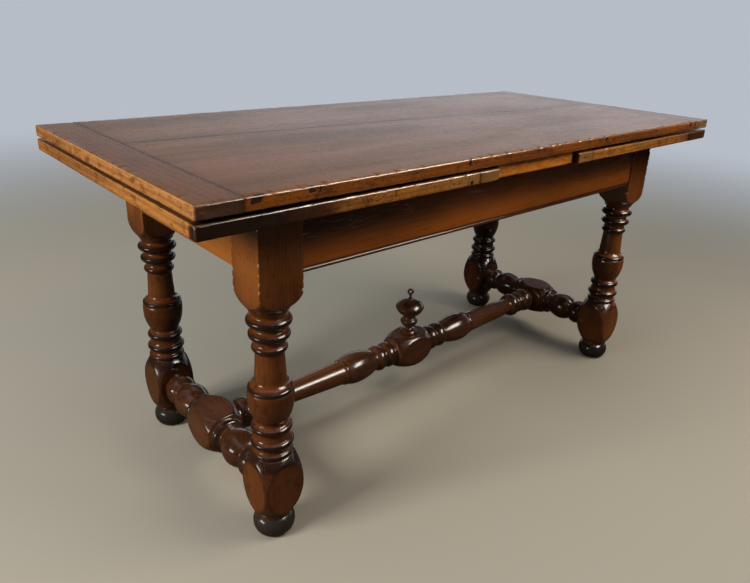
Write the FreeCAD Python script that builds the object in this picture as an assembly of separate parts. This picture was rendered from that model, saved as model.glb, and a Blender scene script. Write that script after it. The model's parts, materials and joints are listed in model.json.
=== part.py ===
import FreeCAD, Part
import math
import os

# Draw-leaf table. A loose top lies over two leaves that pull out of the ends on sliding bearers.
# X runs along the table, Y across it, Z up. The origin is on the floor under the middle. Millimetres.

# Overall sizes
TABLE_LENGTH = 1600.0
TABLE_WIDTH = 742.0
TABLE_HEIGHT = 760.0

# Loose top: two boards held by a cross board (clamp) at each end
TOP_THICKNESS = 24.0
TOP_CLAMP_WIDTH = 78.0
TOP_SEAM_LEFT = 85.0
TOP_SEAM_RIGHT = -10.0

# Leaves: two boards each, clamped at both ends
LEAF_GAP = 5.0
LEAF_THICKNESS = 25.0
LEAF_INNER_END = 142.0
LEAF_OUTER_CLAMP = 105.0
LEAF_INNER_CLAMP = 58.0
LEAF_SEAM = 20.0
LEAF_LAP = 3.0

# Joints between boards and clamps, and the rounded outer corners of the clamps
CORNER_ROUND = 10.0
TONGUE_THICKNESS = 8.0
TONGUE_LENGTH = 22.0
TONGUE_STOP = 30.0
SPLINE_WIDTH = 24.0
CLAMP_PEG_RADIUS = 4.0
CLAMP_PEG_COVER = 5.0
CLAMP_PEG_EDGE = 70.0
CLAMP_PEG_SEAM = 40.0

# Sliding bearers (lopers) under the leaves
LOPER_WIDTH = 40.0
LOPER_HEIGHT = 38.0
LOPER_SETBACK = 55.0
LOPER_HOLD = 60.0
LOPER_BEVEL = 18.0
LOPER_INSET = 44.0
LOPER_PASSING = 6.0
LOPER_SCREW_OUTSET = 80.0
LOPER_SCREW_INSET = 98.0
LOPER_SCREW_COUNT = 3
LOPER_SCREW_SINK = 14.0
LOPER_SCREW_BITE = 16.0
STOP_PEG_RADIUS = 7.0
STOP_PEG_REACH = 20.0

# Legs: square stock turned between two blocks, on separate bun feet
LEG_STOCK = 92.0
LEG_END_OVERHANG = 192.0
LEG_SIDE_OVERHANG = 127.5
FOOT_HEIGHT = 46.0
FOOT_SOLE_RADIUS = 31.0
FOOT_RADIUS = 43.2
FOOT_NECK_RADIUS = 34.5
FOOT_SPIGOT_RADIUS = 13.0
FOOT_SPIGOT_LENGTH = 34.0

# Aprons
APRON_THICKNESS = 26.0
APRON_RECESS = 4.0
LONG_APRON_HEIGHT = 128.5
END_APRON_HEIGHT = 123.5
APRON_BEAD = 7.0
APRON_QUIRK = 2.0
TENON_LENGTH = 40.0
TENON_THICKNESS = 12.0
TENON_SHOULDER = 20.0

# Fixed board in the middle, and the rail under the lopers
CENTRE_BOARD_HALF = 137.0
CENTRE_BOARD_RECESS = 12.0
CENTRE_SCREW_STATION = 95.0
CENTRE_SCREW_SINK = 8.0
CENTRE_SCREW_BITE = 24.0
BEARER_WIDTH = 60.0
BEARER_HEIGHT = 40.0
BEARER_STUB = 12.0
GUIDE_PEG_RADIUS = 11.0
GUIDE_PEG_INSET = 44.5
GUIDE_PEG_DROP = 60.0
GUIDE_PEG_BITE = 14.0

# Stretchers and finial
STRETCHER_STOCK = 88.0
STRETCHER_HEIGHT = 122.0
STRETCHER_END_RADIUS = 30.0
ROUND_TENON_RADIUS = 14.0
ROUND_TENON_LENGTH = 38.0
FINIAL_SPIGOT_RADIUS = 9.0
FINIAL_SPIGOT_LENGTH = 32.0
FINIAL_HEIGHT = 107.0
EYE_SHANK_RADIUS = 3.6
EYE_SHANK_LENGTH = 13.0
EYE_RING_RADIUS = 6.4
EYE_WIRE_RADIUS = 2.8
EYE_TURN = 48.0
EYE_TAIL_LENGTH = 12.0

# Pegs and screws
PEG_RADIUS = 4.5
PEG_DEPTH = 62.0
APRON_PEG_COVER = 8.0
SCREW_RADIUS = 2.5
SCREW_HEAD_RADIUS = 5.0
SCREW_HEAD_HEIGHT = 4.0

# Clearances
GLIDE = 0.5
SIDE_PLAY = 0.6
PEG_PLAY = 0.5
GLUE_LINE = 0.1
DEPTH_PLAY = 1.0
STOP_PLAY = 1.0

# Heights and places worked out from the sizes above
TOP_UNDERSIDE = TABLE_HEIGHT - TOP_THICKNESS
LEAF_TOP = TOP_UNDERSIDE - LEAF_GAP
LEAF_UNDERSIDE = LEAF_TOP - LEAF_THICKNESS
FRAME_TOP = LEAF_UNDERSIDE - GLIDE
LOPER_UNDERSIDE = LEAF_UNDERSIDE - LOPER_HEIGHT
LOPER_SEAT = LOPER_UNDERSIDE - GLIDE
HALF_LENGTH = TABLE_LENGTH / 2
HALF_WIDTH = TABLE_WIDTH / 2
LEAF_LENGTH = HALF_LENGTH - LEAF_INNER_END
LEAF_DRAW = LEAF_LENGTH - LEAF_LAP
LEG_X = HALF_LENGTH - LEG_END_OVERHANG
LEG_Y = HALF_WIDTH - LEG_SIDE_OVERHANG
LEG_HALF = LEG_STOCK / 2
LEG_CORNER = LEG_STOCK / math.sqrt(2) + 1.0
APRON_CENTRE = LEG_HALF - APRON_RECESS - APRON_THICKNESS / 2
LONG_APRON_Y = LEG_Y + APRON_CENTRE
END_APRON_X = LEG_X + APRON_CENTRE
LONG_APRON_BOTTOM = FRAME_TOP - LONG_APRON_HEIGHT
END_APRON_BOTTOM = FRAME_TOP - END_APRON_HEIGHT
STRETCHER_HALF = STRETCHER_STOCK / 2
END_REACH = LEG_Y - LEG_HALF
LONG_REACH = LEG_X - STRETCHER_HALF
LEFT_LOPER_Y = END_REACH - LOPER_INSET
RIGHT_LOPER_Y = LEFT_LOPER_Y - LOPER_WIDTH - LOPER_PASSING
GUIDE_PEG_Y = LONG_APRON_Y - APRON_THICKNESS / 2 - GUIDE_PEG_INSET

# Turned outlines. A row is (height, radius half way up to it, radius at it); None makes a straight run.
# A square block comes first. The turning's heights are measured from the block's end.
LEG_FOOT_RADIUS = 35.0
LEG_SHOULDER_DROP = 157.5
LEG_BLOCK_ROWS = (
    (54.0, None, 37.0),
    (192.0, 62.5, 41.0),
)
LEG_TURNING_ROWS = (
    (2.0, None, 38.5),
    (14.0, 41.5, 37.0),
    (24.0, 35.0, 37.0),
    (40.0, 43.3, 37.0),
    (56.0, 34.5, 35.0),
    (72.0, 40.8, 34.5),
    (83.0, 31.8, 34.5),
    (130.0, 43.3, 45.7),
    (145.0, 45.8, 44.4),
    (146.5, None, 43.4),
    (156.0, 44.8, 41.5),
    (170.0, 33.0, 31.0),
    (224.0, None, 28.0),
    (230.0, 28.2, 30.0),
    (244.0, 34.4, 30.0),
    (256.0, 29.0, 31.5),
    (273.0, 39.9, 31.5),
    (284.0, 30.3, 34.0),
    (302.0, 43.4, 34.0),
    (312.0, 33.4, 37.0),
    (330.0, 41.5, 50.0),
    (356.0, 61.5, LEG_CORNER),
)

# Both kinds of stretcher are drawn from their middle outwards.
KNOP_RADIUS = 59.0
END_BLOCK_ROWS = ((50.0, 56.0, 46.3),)
END_TURNING_ROWS = (
    (4.0, None, 38.0),
    (6.0, None, 37.0),
    (21.0, 41.0, 34.0),
    (26.0, 28.5, 30.0),
    (65.5, 37.8, 41.2),
    (98.5, 38.4, 29.0),
    (102.5, 27.5, 28.5),
    (139.5, 37.0, STRETCHER_END_RADIUS),
    (147.5, None, STRETCHER_END_RADIUS),
)
LONG_BLOCK_ROWS = ((56.0, 55.3, 43.2),)
LONG_TURNING_ROWS = (
    (10.0, 38.5, 30.0),
    (13.0, None, 28.5),
    (42.0, 35.5, 28.5),
    (47.0, 27.0, 28.5),
    (76.0, 35.5, 28.5),
    (79.0, None, 28.0),
    (141.0, 37.5, 41.3),
    (180.0, 40.0, 34.5),
    (182.0, None, 33.0),
    (190.0, 35.0, 32.5),
    (192.0, None, 31.5),
    (390.0, None, 24.0),
    (397.0, 23.8, 27.0),
    (427.0, 36.6, 28.0),
    (435.0, 26.8, 28.3),
    (453.0, 33.6, 28.3),
    (461.0, 26.8, 28.5),
    (497.0, 37.3, STRETCHER_END_RADIUS),
    (508.0, None, STRETCHER_END_RADIUS),
)
FINIAL_BASE_RADIUS = 24.0
FINIAL_ROWS = (
    (6.0, None, 24.0),
    (12.0, 22.0, 13.0),
    (18.0, 10.0, 9.5),
    (36.0, 19.5, 24.3),
    (46.0, 23.8, 18.5),
    (56.0, 16.5, 18.5),
    (80.0, 33.5, 39.9),
    (103.0, 33.0, 9.0),
    (FINIAL_HEIGHT, 8.0, 5.5),
)

ORIGIN = FreeCAD.Vector(0, 0, 0)
X_AXIS = FreeCAD.Vector(1, 0, 0)
Y_AXIS = FreeCAD.Vector(0, 1, 0)
Z_AXIS = FreeCAD.Vector(0, 0, 1)


def span_box(x_ends, y_ends, z_ends):
    """A box between two values on each axis, given in either order."""
    low = FreeCAD.Vector(min(x_ends), min(y_ends), min(z_ends))
    high = FreeCAD.Vector(max(x_ends), max(y_ends), max(z_ends))
    size = high - low
    return Part.makeBox(size.x, size.y, size.z, low)


def rod(radius, start, direction, length):
    return Part.makeCylinder(radius, length, start, direction)


def turned(start_height, start_radius, rows):
    """Revolve an outline of arcs and straight runs about Z."""
    here = FreeCAD.Vector(start_radius, 0, start_height)
    edges = [Part.makeLine(FreeCAD.Vector(0, 0, start_height), here)]
    for height, middle_radius, radius in rows:
        there = FreeCAD.Vector(radius, 0, height)
        if middle_radius is None:
            edges.append(Part.makeLine(here, there))
        else:
            middle = FreeCAD.Vector(middle_radius, 0, (here.z + height) / 2)
            edges.append(Part.Arc(here, middle, there).toShape())
        here = there
    top = FreeCAD.Vector(0, 0, here.z)
    edges.append(Part.makeLine(here, top))
    edges.append(Part.makeLine(top, FreeCAD.Vector(0, 0, start_height)))
    return Part.Face(Part.Wire(edges)).revolve(ORIGIN, Z_AXIS, 360)


def filled(block_rows, turning_rows, end):
    """A block's rows, and then a turning's rows spread evenly from there to the end."""
    start = block_rows[-1][0]
    stretch = (end - start) / turning_rows[-1][0]
    return block_rows + tuple((start + stretch * up, middle, radius) for up, middle, radius in turning_rows)


def drilled(shape, holes):
    return shape.cut(Part.makeCompound(holes))


def plank(corners, z_low, z_high):
    """A board from its plan outline."""
    points = [FreeCAD.Vector(x, y, z_low) for x, y in corners]
    face = Part.Face(Part.makePolygon(points + points[:1]))
    return face.extrude(FreeCAD.Vector(0, 0, z_high - z_low))


def screw(point, direction, length, play=0.0):
    """A wood screw with its head flush at point; play makes the hole for it."""
    head = rod(SCREW_HEAD_RADIUS + play, point, direction, SCREW_HEAD_HEIGHT + play)
    return head.fuse(rod(SCREW_RADIUS + play, point, direction, length + play))


def save(name, shape):
    solids = shape.Solids
    if not shape.isValid() or not solids:
        raise ValueError(name + " is not a valid solid")
    if len(solids) == 1:
        shape = solids[0]
    else:
        shape = Part.makeCompound(solids)
    shape.exportStep("parts/" + name + ".step")
    print(name, len(solids), round(shape.Volume))


CORNERS = (
    ("front_left", -1, -1),
    ("front_right", 1, -1),
    ("back_left", -1, 1),
    ("back_right", 1, 1),
)


def apron_peg(sx, sy, along_x, play=0.0):
    """A peg through one apron tenon, driven from the inner side of the leg."""
    radius = PEG_RADIUS + play
    length = LEG_STOCK - APRON_PEG_COVER + play
    if along_x:
        across = sy * (LEG_Y - LEG_HALF + TENON_LENGTH / 2)
        start = FreeCAD.Vector(sx * (LEG_X - LEG_HALF), across, (END_APRON_BOTTOM + FRAME_TOP) / 2)
        return rod(radius, start, X_AXIS * sx, length)
    across = sx * (LEG_X - LEG_HALF + TENON_LENGTH / 2)
    start = FreeCAD.Vector(across, sy * (LEG_Y - LEG_HALF), (LONG_APRON_BOTTOM + FRAME_TOP) / 2)
    return rod(radius, start, Y_AXIS * sy, length)


def stretcher_peg(sx, sy, play=0.0):
    """A peg through an end stretcher's round tenon, driven from the inner side of the leg."""
    across = sy * (LEG_Y - LEG_HALF + ROUND_TENON_LENGTH / 2)
    start = FreeCAD.Vector(sx * (LEG_X - LEG_HALF), across, STRETCHER_HEIGHT)
    return rod(PEG_RADIUS + play, start, X_AXIS * sx, PEG_DEPTH + play)


def long_stretcher_peg(sx, play=0.0):
    """A peg up through the long stretcher's tenon, from under the end stretcher's block."""
    along = sx * (LONG_REACH + ROUND_TENON_LENGTH / 2)
    start = FreeCAD.Vector(along, 0, STRETCHER_HEIGHT - STRETCHER_HALF)
    return rod(PEG_RADIUS + play, start, Z_AXIS, PEG_DEPTH + play)


def apron_tenon(sx, sy, along_x, play=0.0):
    """The tenon of an apron in a leg; play makes the mortise."""
    thick = TENON_THICKNESS / 2 + play
    depth = TENON_LENGTH + (DEPTH_PLAY if play else 0.0)
    if along_x:
        face = sx * (LEG_X - LEG_HALF)
        y = sy * LONG_APRON_Y
        z_ends = (LONG_APRON_BOTTOM + TENON_SHOULDER - play, FRAME_TOP - TENON_SHOULDER + play)
        return span_box((face, face + sx * depth), (y - thick, y + thick), z_ends)
    face = sy * (LEG_Y - LEG_HALF)
    x = sx * END_APRON_X
    z_ends = (END_APRON_BOTTOM + TENON_SHOULDER - play, LOPER_SEAT - TENON_SHOULDER + play)
    return span_box((x - thick, x + thick), (face, face + sy * depth), z_ends)


def leg(sx, sy):
    centre = FreeCAD.Vector(sx * LEG_X, sy * LEG_Y, 0)
    rows = filled(LEG_BLOCK_ROWS, LEG_TURNING_ROWS, FRAME_TOP - LEG_SHOULDER_DROP)
    upper_block = (FRAME_TOP, None, LEG_CORNER)
    stock = span_box((-LEG_HALF, LEG_HALF), (-LEG_HALF, LEG_HALF), (FOOT_HEIGHT, FRAME_TOP))
    body = turned(FOOT_HEIGHT, LEG_FOOT_RADIUS, rows + (upper_block,)).common(stock)
    body.translate(centre)
    sole = centre + Z_AXIS * FOOT_HEIGHT
    inner = FreeCAD.Vector(sx * LEG_X, sy * (LEG_Y - LEG_HALF), STRETCHER_HEIGHT)
    holes = [
        rod(FOOT_SPIGOT_RADIUS + GLUE_LINE, sole, Z_AXIS, FOOT_SPIGOT_LENGTH + DEPTH_PLAY),
        rod(ROUND_TENON_RADIUS + GLUE_LINE, inner, Y_AXIS * sy, ROUND_TENON_LENGTH + DEPTH_PLAY),
        apron_tenon(sx, sy, True, GLUE_LINE),
        apron_tenon(sx, sy, False, GLUE_LINE),
        apron_peg(sx, sy, True, GLUE_LINE),
        apron_peg(sx, sy, False, GLUE_LINE),
        stretcher_peg(sx, sy, GLUE_LINE),
    ]
    return drilled(body, holes)


def foot(sx, sy):
    bun = turned(0.0, FOOT_SOLE_RADIUS, ((FOOT_HEIGHT, FOOT_RADIUS, FOOT_NECK_RADIUS),))
    neck = Z_AXIS * FOOT_HEIGHT
    bun = bun.fuse(rod(FOOT_SPIGOT_RADIUS, neck, Z_AXIS, FOOT_SPIGOT_LENGTH))
    bun.translate(FreeCAD.Vector(sx * LEG_X, sy * LEG_Y, 0))
    return bun


def centre_screw(sx, sy, play=0.0):
    """A screw down through the centre board into a long apron."""
    point = FreeCAD.Vector(sx * CENTRE_SCREW_STATION, sy * LONG_APRON_Y, TOP_UNDERSIDE - CENTRE_SCREW_SINK)
    length = point.z - FRAME_TOP + CENTRE_SCREW_BITE
    return screw(point, Z_AXIS * -1, length, play)


def bearer(play=0.0):
    """The rail under the lopers, with a stub into each long apron; play makes the stubs' mortises."""
    half_x = BEARER_WIDTH / 2 + play
    inner = LONG_APRON_Y - APRON_THICKNESS / 2
    half_y = inner + BEARER_STUB + play
    z_ends = (LOPER_SEAT - BEARER_HEIGHT - play, LOPER_SEAT + play)
    return span_box((-half_x, half_x), (-half_y, half_y), z_ends)


def long_apron(sy):
    """A long apron: its section has a bead along the lower edge, set off by a narrow groove."""
    half = LEG_X - LEG_HALF
    face = LONG_APRON_Y + APRON_THICKNESS / 2
    back = LONG_APRON_Y - APRON_THICKNESS / 2
    low = LONG_APRON_BOTTOM
    sunk = face - APRON_QUIRK
    bead_top = low + APRON_BEAD
    outline = [(sunk, low), (back, low), (back, FRAME_TOP), (face, FRAME_TOP)]
    outline += [(face, bead_top + APRON_QUIRK), (sunk, bead_top + APRON_QUIRK), (sunk, bead_top)]
    points = [FreeCAD.Vector(-half, sy * y, z) for y, z in outline]
    crown = FreeCAD.Vector(-half, sy * face, low + APRON_BEAD / 2)
    bead = Part.Arc(points[-1], crown, points[0]).toShape()
    section = Part.Face(Part.Wire(Part.makePolygon(points).Edges + [bead]))
    body = section.extrude(X_AXIS * (2 * half))
    for sx in (-1, 1):
        body = body.fuse(apron_tenon(sx, sy, True))
    holes = [bearer(GLUE_LINE)]
    for sx in (-1, 1):
        holes.append(apron_peg(sx, sy, False, GLUE_LINE))
        holes.append(centre_screw(sx, sy, GLUE_LINE))
    return drilled(body, holes)


def end_apron(sx):
    """An end apron, notched for the two lopers that run through it."""
    x_ends = (sx * (END_APRON_X - APRON_THICKNESS / 2), sx * (END_APRON_X + APRON_THICKNESS / 2))
    half = LEG_Y - LEG_HALF
    body = span_box(x_ends, (-half, half), (END_APRON_BOTTOM, FRAME_TOP))
    for sy in (-1, 1):
        body = body.fuse(apron_tenon(sx, sy, False))
    middle = LEFT_LOPER_Y if sx < 0 else RIGHT_LOPER_Y
    notch = LOPER_WIDTH / 2 + SIDE_PLAY
    holes = []
    for sy in (-1, 1):
        y_ends = (sy * middle - notch, sy * middle + notch)
        holes.append(span_box(x_ends, y_ends, (LOPER_SEAT, FRAME_TOP + GLIDE)))
        holes.append(apron_peg(sx, sy, True, GLUE_LINE))
    return drilled(body, holes)


def squared_spindle(rows, reach):
    """A spindle along Z with a square block left in its middle and a round tenon at each end."""
    half = turned(0.0, KNOP_RADIUS, rows)
    flats = span_box((-STRETCHER_HALF, STRETCHER_HALF), (-STRETCHER_HALF, STRETCHER_HALF), (0, reach))
    half = half.common(flats)
    half = half.fuse(rod(ROUND_TENON_RADIUS, Z_AXIS * reach, Z_AXIS, ROUND_TENON_LENGTH))
    return half.fuse(half.mirror(ORIGIN, Z_AXIS)).removeSplitter()


def end_stretcher(sx):
    body = squared_spindle(filled(END_BLOCK_ROWS, END_TURNING_ROWS, END_REACH), END_REACH)
    body.rotate(ORIGIN, X_AXIS, -90)
    body.translate(FreeCAD.Vector(sx * LEG_X, 0, STRETCHER_HEIGHT))
    inner = FreeCAD.Vector(sx * LONG_REACH, 0, STRETCHER_HEIGHT)
    holes = [
        rod(ROUND_TENON_RADIUS + GLUE_LINE, inner, X_AXIS * sx, ROUND_TENON_LENGTH + DEPTH_PLAY),
        long_stretcher_peg(sx, GLUE_LINE),
        stretcher_peg(sx, -1, GLUE_LINE),
        stretcher_peg(sx, 1, GLUE_LINE),
    ]
    return drilled(body, holes)


FINIAL_SEAT = FreeCAD.Vector(0, 0, STRETCHER_HEIGHT + STRETCHER_HALF)


def long_stretcher():
    body = squared_spindle(filled(LONG_BLOCK_ROWS, LONG_TURNING_ROWS, LONG_REACH), LONG_REACH)
    body.rotate(ORIGIN, Y_AXIS, 90)
    body.translate(FreeCAD.Vector(0, 0, STRETCHER_HEIGHT))
    down = Z_AXIS * -1
    holes = [
        rod(FINIAL_SPIGOT_RADIUS + GLUE_LINE, FINIAL_SEAT, down, FINIAL_SPIGOT_LENGTH + DEPTH_PLAY),
        long_stretcher_peg(-1, GLUE_LINE),
        long_stretcher_peg(1, GLUE_LINE),
    ]
    return drilled(body, holes)


def finial():
    body = turned(0.0, FINIAL_BASE_RADIUS, FINIAL_ROWS)
    body = body.fuse(rod(FINIAL_SPIGOT_RADIUS, ORIGIN, Z_AXIS * -1, FINIAL_SPIGOT_LENGTH))
    crown = Z_AXIS * FINIAL_HEIGHT
    body = body.cut(rod(EYE_SHANK_RADIUS + GLUE_LINE, crown, Z_AXIS * -1, EYE_TAIL_LENGTH + DEPTH_PLAY))
    body.translate(FINIAL_SEAT)
    return body


def finial_eye():
    """A ring on a short shank, screwed into the finial, turned to face the table's near corner."""
    tail = Z_AXIS * -EYE_TAIL_LENGTH
    body = rod(EYE_SHANK_RADIUS, tail, Z_AXIS, EYE_TAIL_LENGTH + EYE_SHANK_LENGTH)
    ring_centre = Z_AXIS * (EYE_SHANK_LENGTH + EYE_RING_RADIUS)
    facing = FreeCAD.Vector(math.cos(math.radians(EYE_TURN)), math.sin(math.radians(EYE_TURN)), 0)
    body = body.fuse(Part.makeTorus(EYE_RING_RADIUS, EYE_WIRE_RADIUS, ring_centre, facing))
    body.translate(FINIAL_SEAT + Z_AXIS * FINIAL_HEIGHT)
    return body


def guide_peg(sy, play=0.0):
    """A peg under the loose top that drops through the centre board."""
    start = FreeCAD.Vector(0, sy * GUIDE_PEG_Y, TOP_UNDERSIDE - GUIDE_PEG_DROP - play)
    return rod(GUIDE_PEG_RADIUS + play, start, Z_AXIS, GUIDE_PEG_DROP + GUIDE_PEG_BITE + 2 * play)


def centre_board():
    half_y = HALF_WIDTH - CENTRE_BOARD_RECESS
    x_ends = (-CENTRE_BOARD_HALF, CENTRE_BOARD_HALF)
    body = span_box(x_ends, (-half_y, half_y), (FRAME_TOP, TOP_UNDERSIDE))
    holes = []
    for sy in (-1, 1):
        holes.append(guide_peg(sy, PEG_PLAY))
        for sx in (-1, 1):
            holes.append(centre_screw(sx, sy, GLUE_LINE))
            mouth = FreeCAD.Vector(sx * CENTRE_SCREW_STATION, sy * LONG_APRON_Y, TOP_UNDERSIDE)
            holes.append(rod(SCREW_HEAD_RADIUS + GLUE_LINE, mouth, Z_AXIS * -1, CENTRE_SCREW_SINK))
    return drilled(body, holes)


class Panel:
    """Two boards with a loose tongue in their seam, and a clamp across each end."""

    def __init__(self, x_low, x_high, low_clamp, high_clamp, seam, z_low, thickness):
        self.x_low = x_low
        self.x_high = x_high
        self.board_low = x_low + low_clamp
        self.board_high = x_high - high_clamp
        self.seam_low, self.seam_high = seam
        self.z_low = z_low
        self.z_high = z_low + thickness
        self.z_middle = z_low + thickness / 2

    def seam_at(self, x):
        share = (x - self.board_low) / (self.board_high - self.board_low)
        return self.seam_low + share * (self.seam_high - self.seam_low)

    def spline(self, play=0.0):
        half = SPLINE_WIDTH / 2 + play
        thick = TONGUE_THICKNESS / 2 + play
        low = self.board_low
        high = self.board_high
        corners = [(low, self.seam_at(low) - half), (high, self.seam_at(high) - half)]
        corners += [(high, self.seam_at(high) + half), (low, self.seam_at(low) + half)]
        return plank(corners, self.z_middle - thick, self.z_middle + thick)

    def tongue(self, at_low_end, play=0.0):
        """The strip that stands out of both boards into a clamp."""
        thick = TONGUE_THICKNESS / 2 + play
        half = HALF_WIDTH - TONGUE_STOP + play
        length = TONGUE_LENGTH + play
        base = self.board_low if at_low_end else self.board_high
        tip = base - length if at_low_end else base + length
        return span_box((base, tip), (-half, half), (self.z_middle - thick, self.z_middle + thick))

    def end_pegs(self, at_low_end, play=0.0):
        """Pegs up through a clamp and its tongue, two to a board, that stop short of the upper face."""
        x = self.board_low - TONGUE_LENGTH / 2 if at_low_end else self.board_high + TONGUE_LENGTH / 2
        seam = self.seam_at(self.board_low if at_low_end else self.board_high)
        edge = HALF_WIDTH - CLAMP_PEG_EDGE
        length = self.z_high - self.z_low - CLAMP_PEG_COVER + play
        pegs = []
        for y in (-edge, seam - CLAMP_PEG_SEAM, seam + CLAMP_PEG_SEAM, edge):
            pegs.append(rod(CLAMP_PEG_RADIUS + play, FreeCAD.Vector(x, y, self.z_low), Z_AXIS, length))
        return pegs

    def pegs(self, play=0.0):
        return self.end_pegs(True, play) + self.end_pegs(False, play)

    def board(self, sy, holes):
        """The board on one side of the seam, with its share of both tongues."""
        low = self.board_low
        high = self.board_high
        edge = sy * HALF_WIDTH
        body = plank(
            [(low, edge), (high, edge), (high, self.seam_at(high)), (low, self.seam_at(low))],
            self.z_low,
            self.z_high,
        )
        low_side = span_box((self.x_low, low), (edge, self.seam_at(low)), (self.z_low, self.z_high))
        high_side = span_box((high, self.x_high), (edge, self.seam_at(high)), (self.z_low, self.z_high))
        body = body.fuse(self.tongue(True).common(low_side))
        body = body.fuse(self.tongue(False).common(high_side))
        return drilled(body, [self.spline(GLUE_LINE)] + self.pegs(GLUE_LINE) + holes)

    def clamp(self, at_low_end, holes, rounded=True):
        """The cross board at one end, with the corners of its free side rounded in plan."""
        x_ends = (self.x_low, self.board_low) if at_low_end else (self.board_high, self.x_high)
        body = span_box(x_ends, (-HALF_WIDTH, HALF_WIDTH), (self.z_low, self.z_high))
        if rounded:
            free_x = self.x_low if at_low_end else self.x_high
            height = self.z_high - self.z_low
            uprights = [edge for edge in body.Edges if abs(edge.BoundBox.ZLength - height) < 0.001]
            outer = [edge for edge in uprights if abs(edge.CenterOfMass.x - free_x) < 0.001]
            body = body.makeFillet(CORNER_ROUND, outer)
        return drilled(body, [self.tongue(at_low_end, GLUE_LINE)] + self.pegs(GLUE_LINE) + holes)


def leaf_panel(sx):
    seam = (LEAF_SEAM, LEAF_SEAM)
    if sx < 0:
        ends = (-HALF_LENGTH, -LEAF_INNER_END, LEAF_OUTER_CLAMP, LEAF_INNER_CLAMP)
    else:
        ends = (LEAF_INNER_END, HALF_LENGTH, LEAF_INNER_CLAMP, LEAF_OUTER_CLAMP)
    return Panel(*ends, seam, LEAF_UNDERSIDE, LEAF_THICKNESS)


def loper_y(sx, sy):
    return sy * (LEFT_LOPER_Y if sx < 0 else RIGHT_LOPER_Y)


def loper_screw_x(sx, index):
    """Screws are spread evenly from near the leaf's outer end to near its inner end."""
    first = HALF_LENGTH - LOPER_SCREW_OUTSET
    last = LEAF_INNER_END + LOPER_SCREW_INSET
    return sx * (first + (last - first) * index / (LOPER_SCREW_COUNT - 1))


def loper_screw(sx, sy, index, play=0.0):
    """A screw up through a loper into its leaf, with its head at the bottom of a sunk hole."""
    z_head = LOPER_UNDERSIDE + LOPER_SCREW_SINK - SCREW_HEAD_HEIGHT
    point = FreeCAD.Vector(loper_screw_x(sx, index), loper_y(sx, sy), z_head)
    return screw(point, Z_AXIS, LEAF_UNDERSIDE - z_head + LOPER_SCREW_BITE, play)


def loper_screws(sx, play=0.0):
    return [loper_screw(sx, sy, index, play) for sy in (-1, 1) for index in range(LOPER_SCREW_COUNT)]


def stop_peg(sx, sy, play=0.0):
    """A peg across a loper that meets the end apron when the leaf is fully drawn."""
    apron_back = END_APRON_X - APRON_THICKNESS / 2
    x = -sx * (LEAF_DRAW - apron_back + STOP_PEG_RADIUS + STOP_PLAY)
    outward = sy if sx < 0 else -sy
    start_y = loper_y(sx, sy) - outward * LOPER_WIDTH / 2
    start = FreeCAD.Vector(x, start_y, LOPER_UNDERSIDE + LOPER_HEIGHT / 2)
    return rod(STOP_PEG_RADIUS + play, start, Y_AXIS * outward, LOPER_WIDTH + STOP_PEG_REACH)


def loper(sx, sy):
    """A loper: level with the leaf's underside, then stepped down to pass under the centre board."""
    outer = sx * (HALF_LENGTH - LOPER_SETBACK)
    inner = -sx * (LEAF_DRAW - CENTRE_BOARD_HALF + LOPER_HOLD)
    y = loper_y(sx, sy)
    y_ends = (y - LOPER_WIDTH / 2, y + LOPER_WIDTH / 2)
    body = span_box((outer, inner), y_ends, (LOPER_UNDERSIDE, LEAF_UNDERSIDE))
    step_top = FRAME_TOP - GLIDE
    holes = [span_box((sx * LEAF_INNER_END, inner), y_ends, (step_top, LEAF_UNDERSIDE))]
    bevel = [(0, 0), (-sx * LOPER_BEVEL, 0), (0, LOPER_BEVEL)]
    points = [FreeCAD.Vector(outer + x, y_ends[0], LOPER_UNDERSIDE + z) for x, z in bevel]
    wedge = Part.Face(Part.makePolygon(points + points[:1])).extrude(Y_AXIS * LOPER_WIDTH)
    holes.append(wedge)
    holes.append(stop_peg(sx, sy, GLUE_LINE))
    for index in range(LOPER_SCREW_COUNT):
        holes.append(loper_screw(sx, sy, index, GLUE_LINE))
        mouth = FreeCAD.Vector(loper_screw_x(sx, index), y, LOPER_UNDERSIDE)
        holes.append(rod(SCREW_HEAD_RADIUS + GLUE_LINE, mouth, Z_AXIS, LOPER_SCREW_SINK))
    return drilled(body, holes)


os.makedirs("parts", exist_ok=True)

# Frame
for corner, side_x, side_y in CORNERS:
    save("leg_" + corner, leg(side_x, side_y))
    save("foot_" + corner, foot(side_x, side_y))
save("apron_front", long_apron(-1))
save("apron_back", long_apron(1))
save("apron_left", end_apron(-1))
save("apron_right", end_apron(1))
save("stretcher_left", end_stretcher(-1))
save("stretcher_right", end_stretcher(1))
save("stretcher_long", long_stretcher())
save("finial", finial())
save("finial_eye", finial_eye())
save("centre_board", centre_board())
save("middle_bearer", bearer())
frame_pegs = [apron_peg(sx, sy, along) for _, sx, sy in CORNERS for along in (True, False)]
save("apron_pegs", Part.makeCompound(frame_pegs))
low_pegs = [stretcher_peg(sx, sy) for _, sx, sy in CORNERS] + [long_stretcher_peg(sx) for sx in (-1, 1)]
save("stretcher_pegs", Part.makeCompound(low_pegs))
save("centre_board_screws", Part.makeCompound([centre_screw(sx, sy) for _, sx, sy in CORNERS]))

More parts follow.
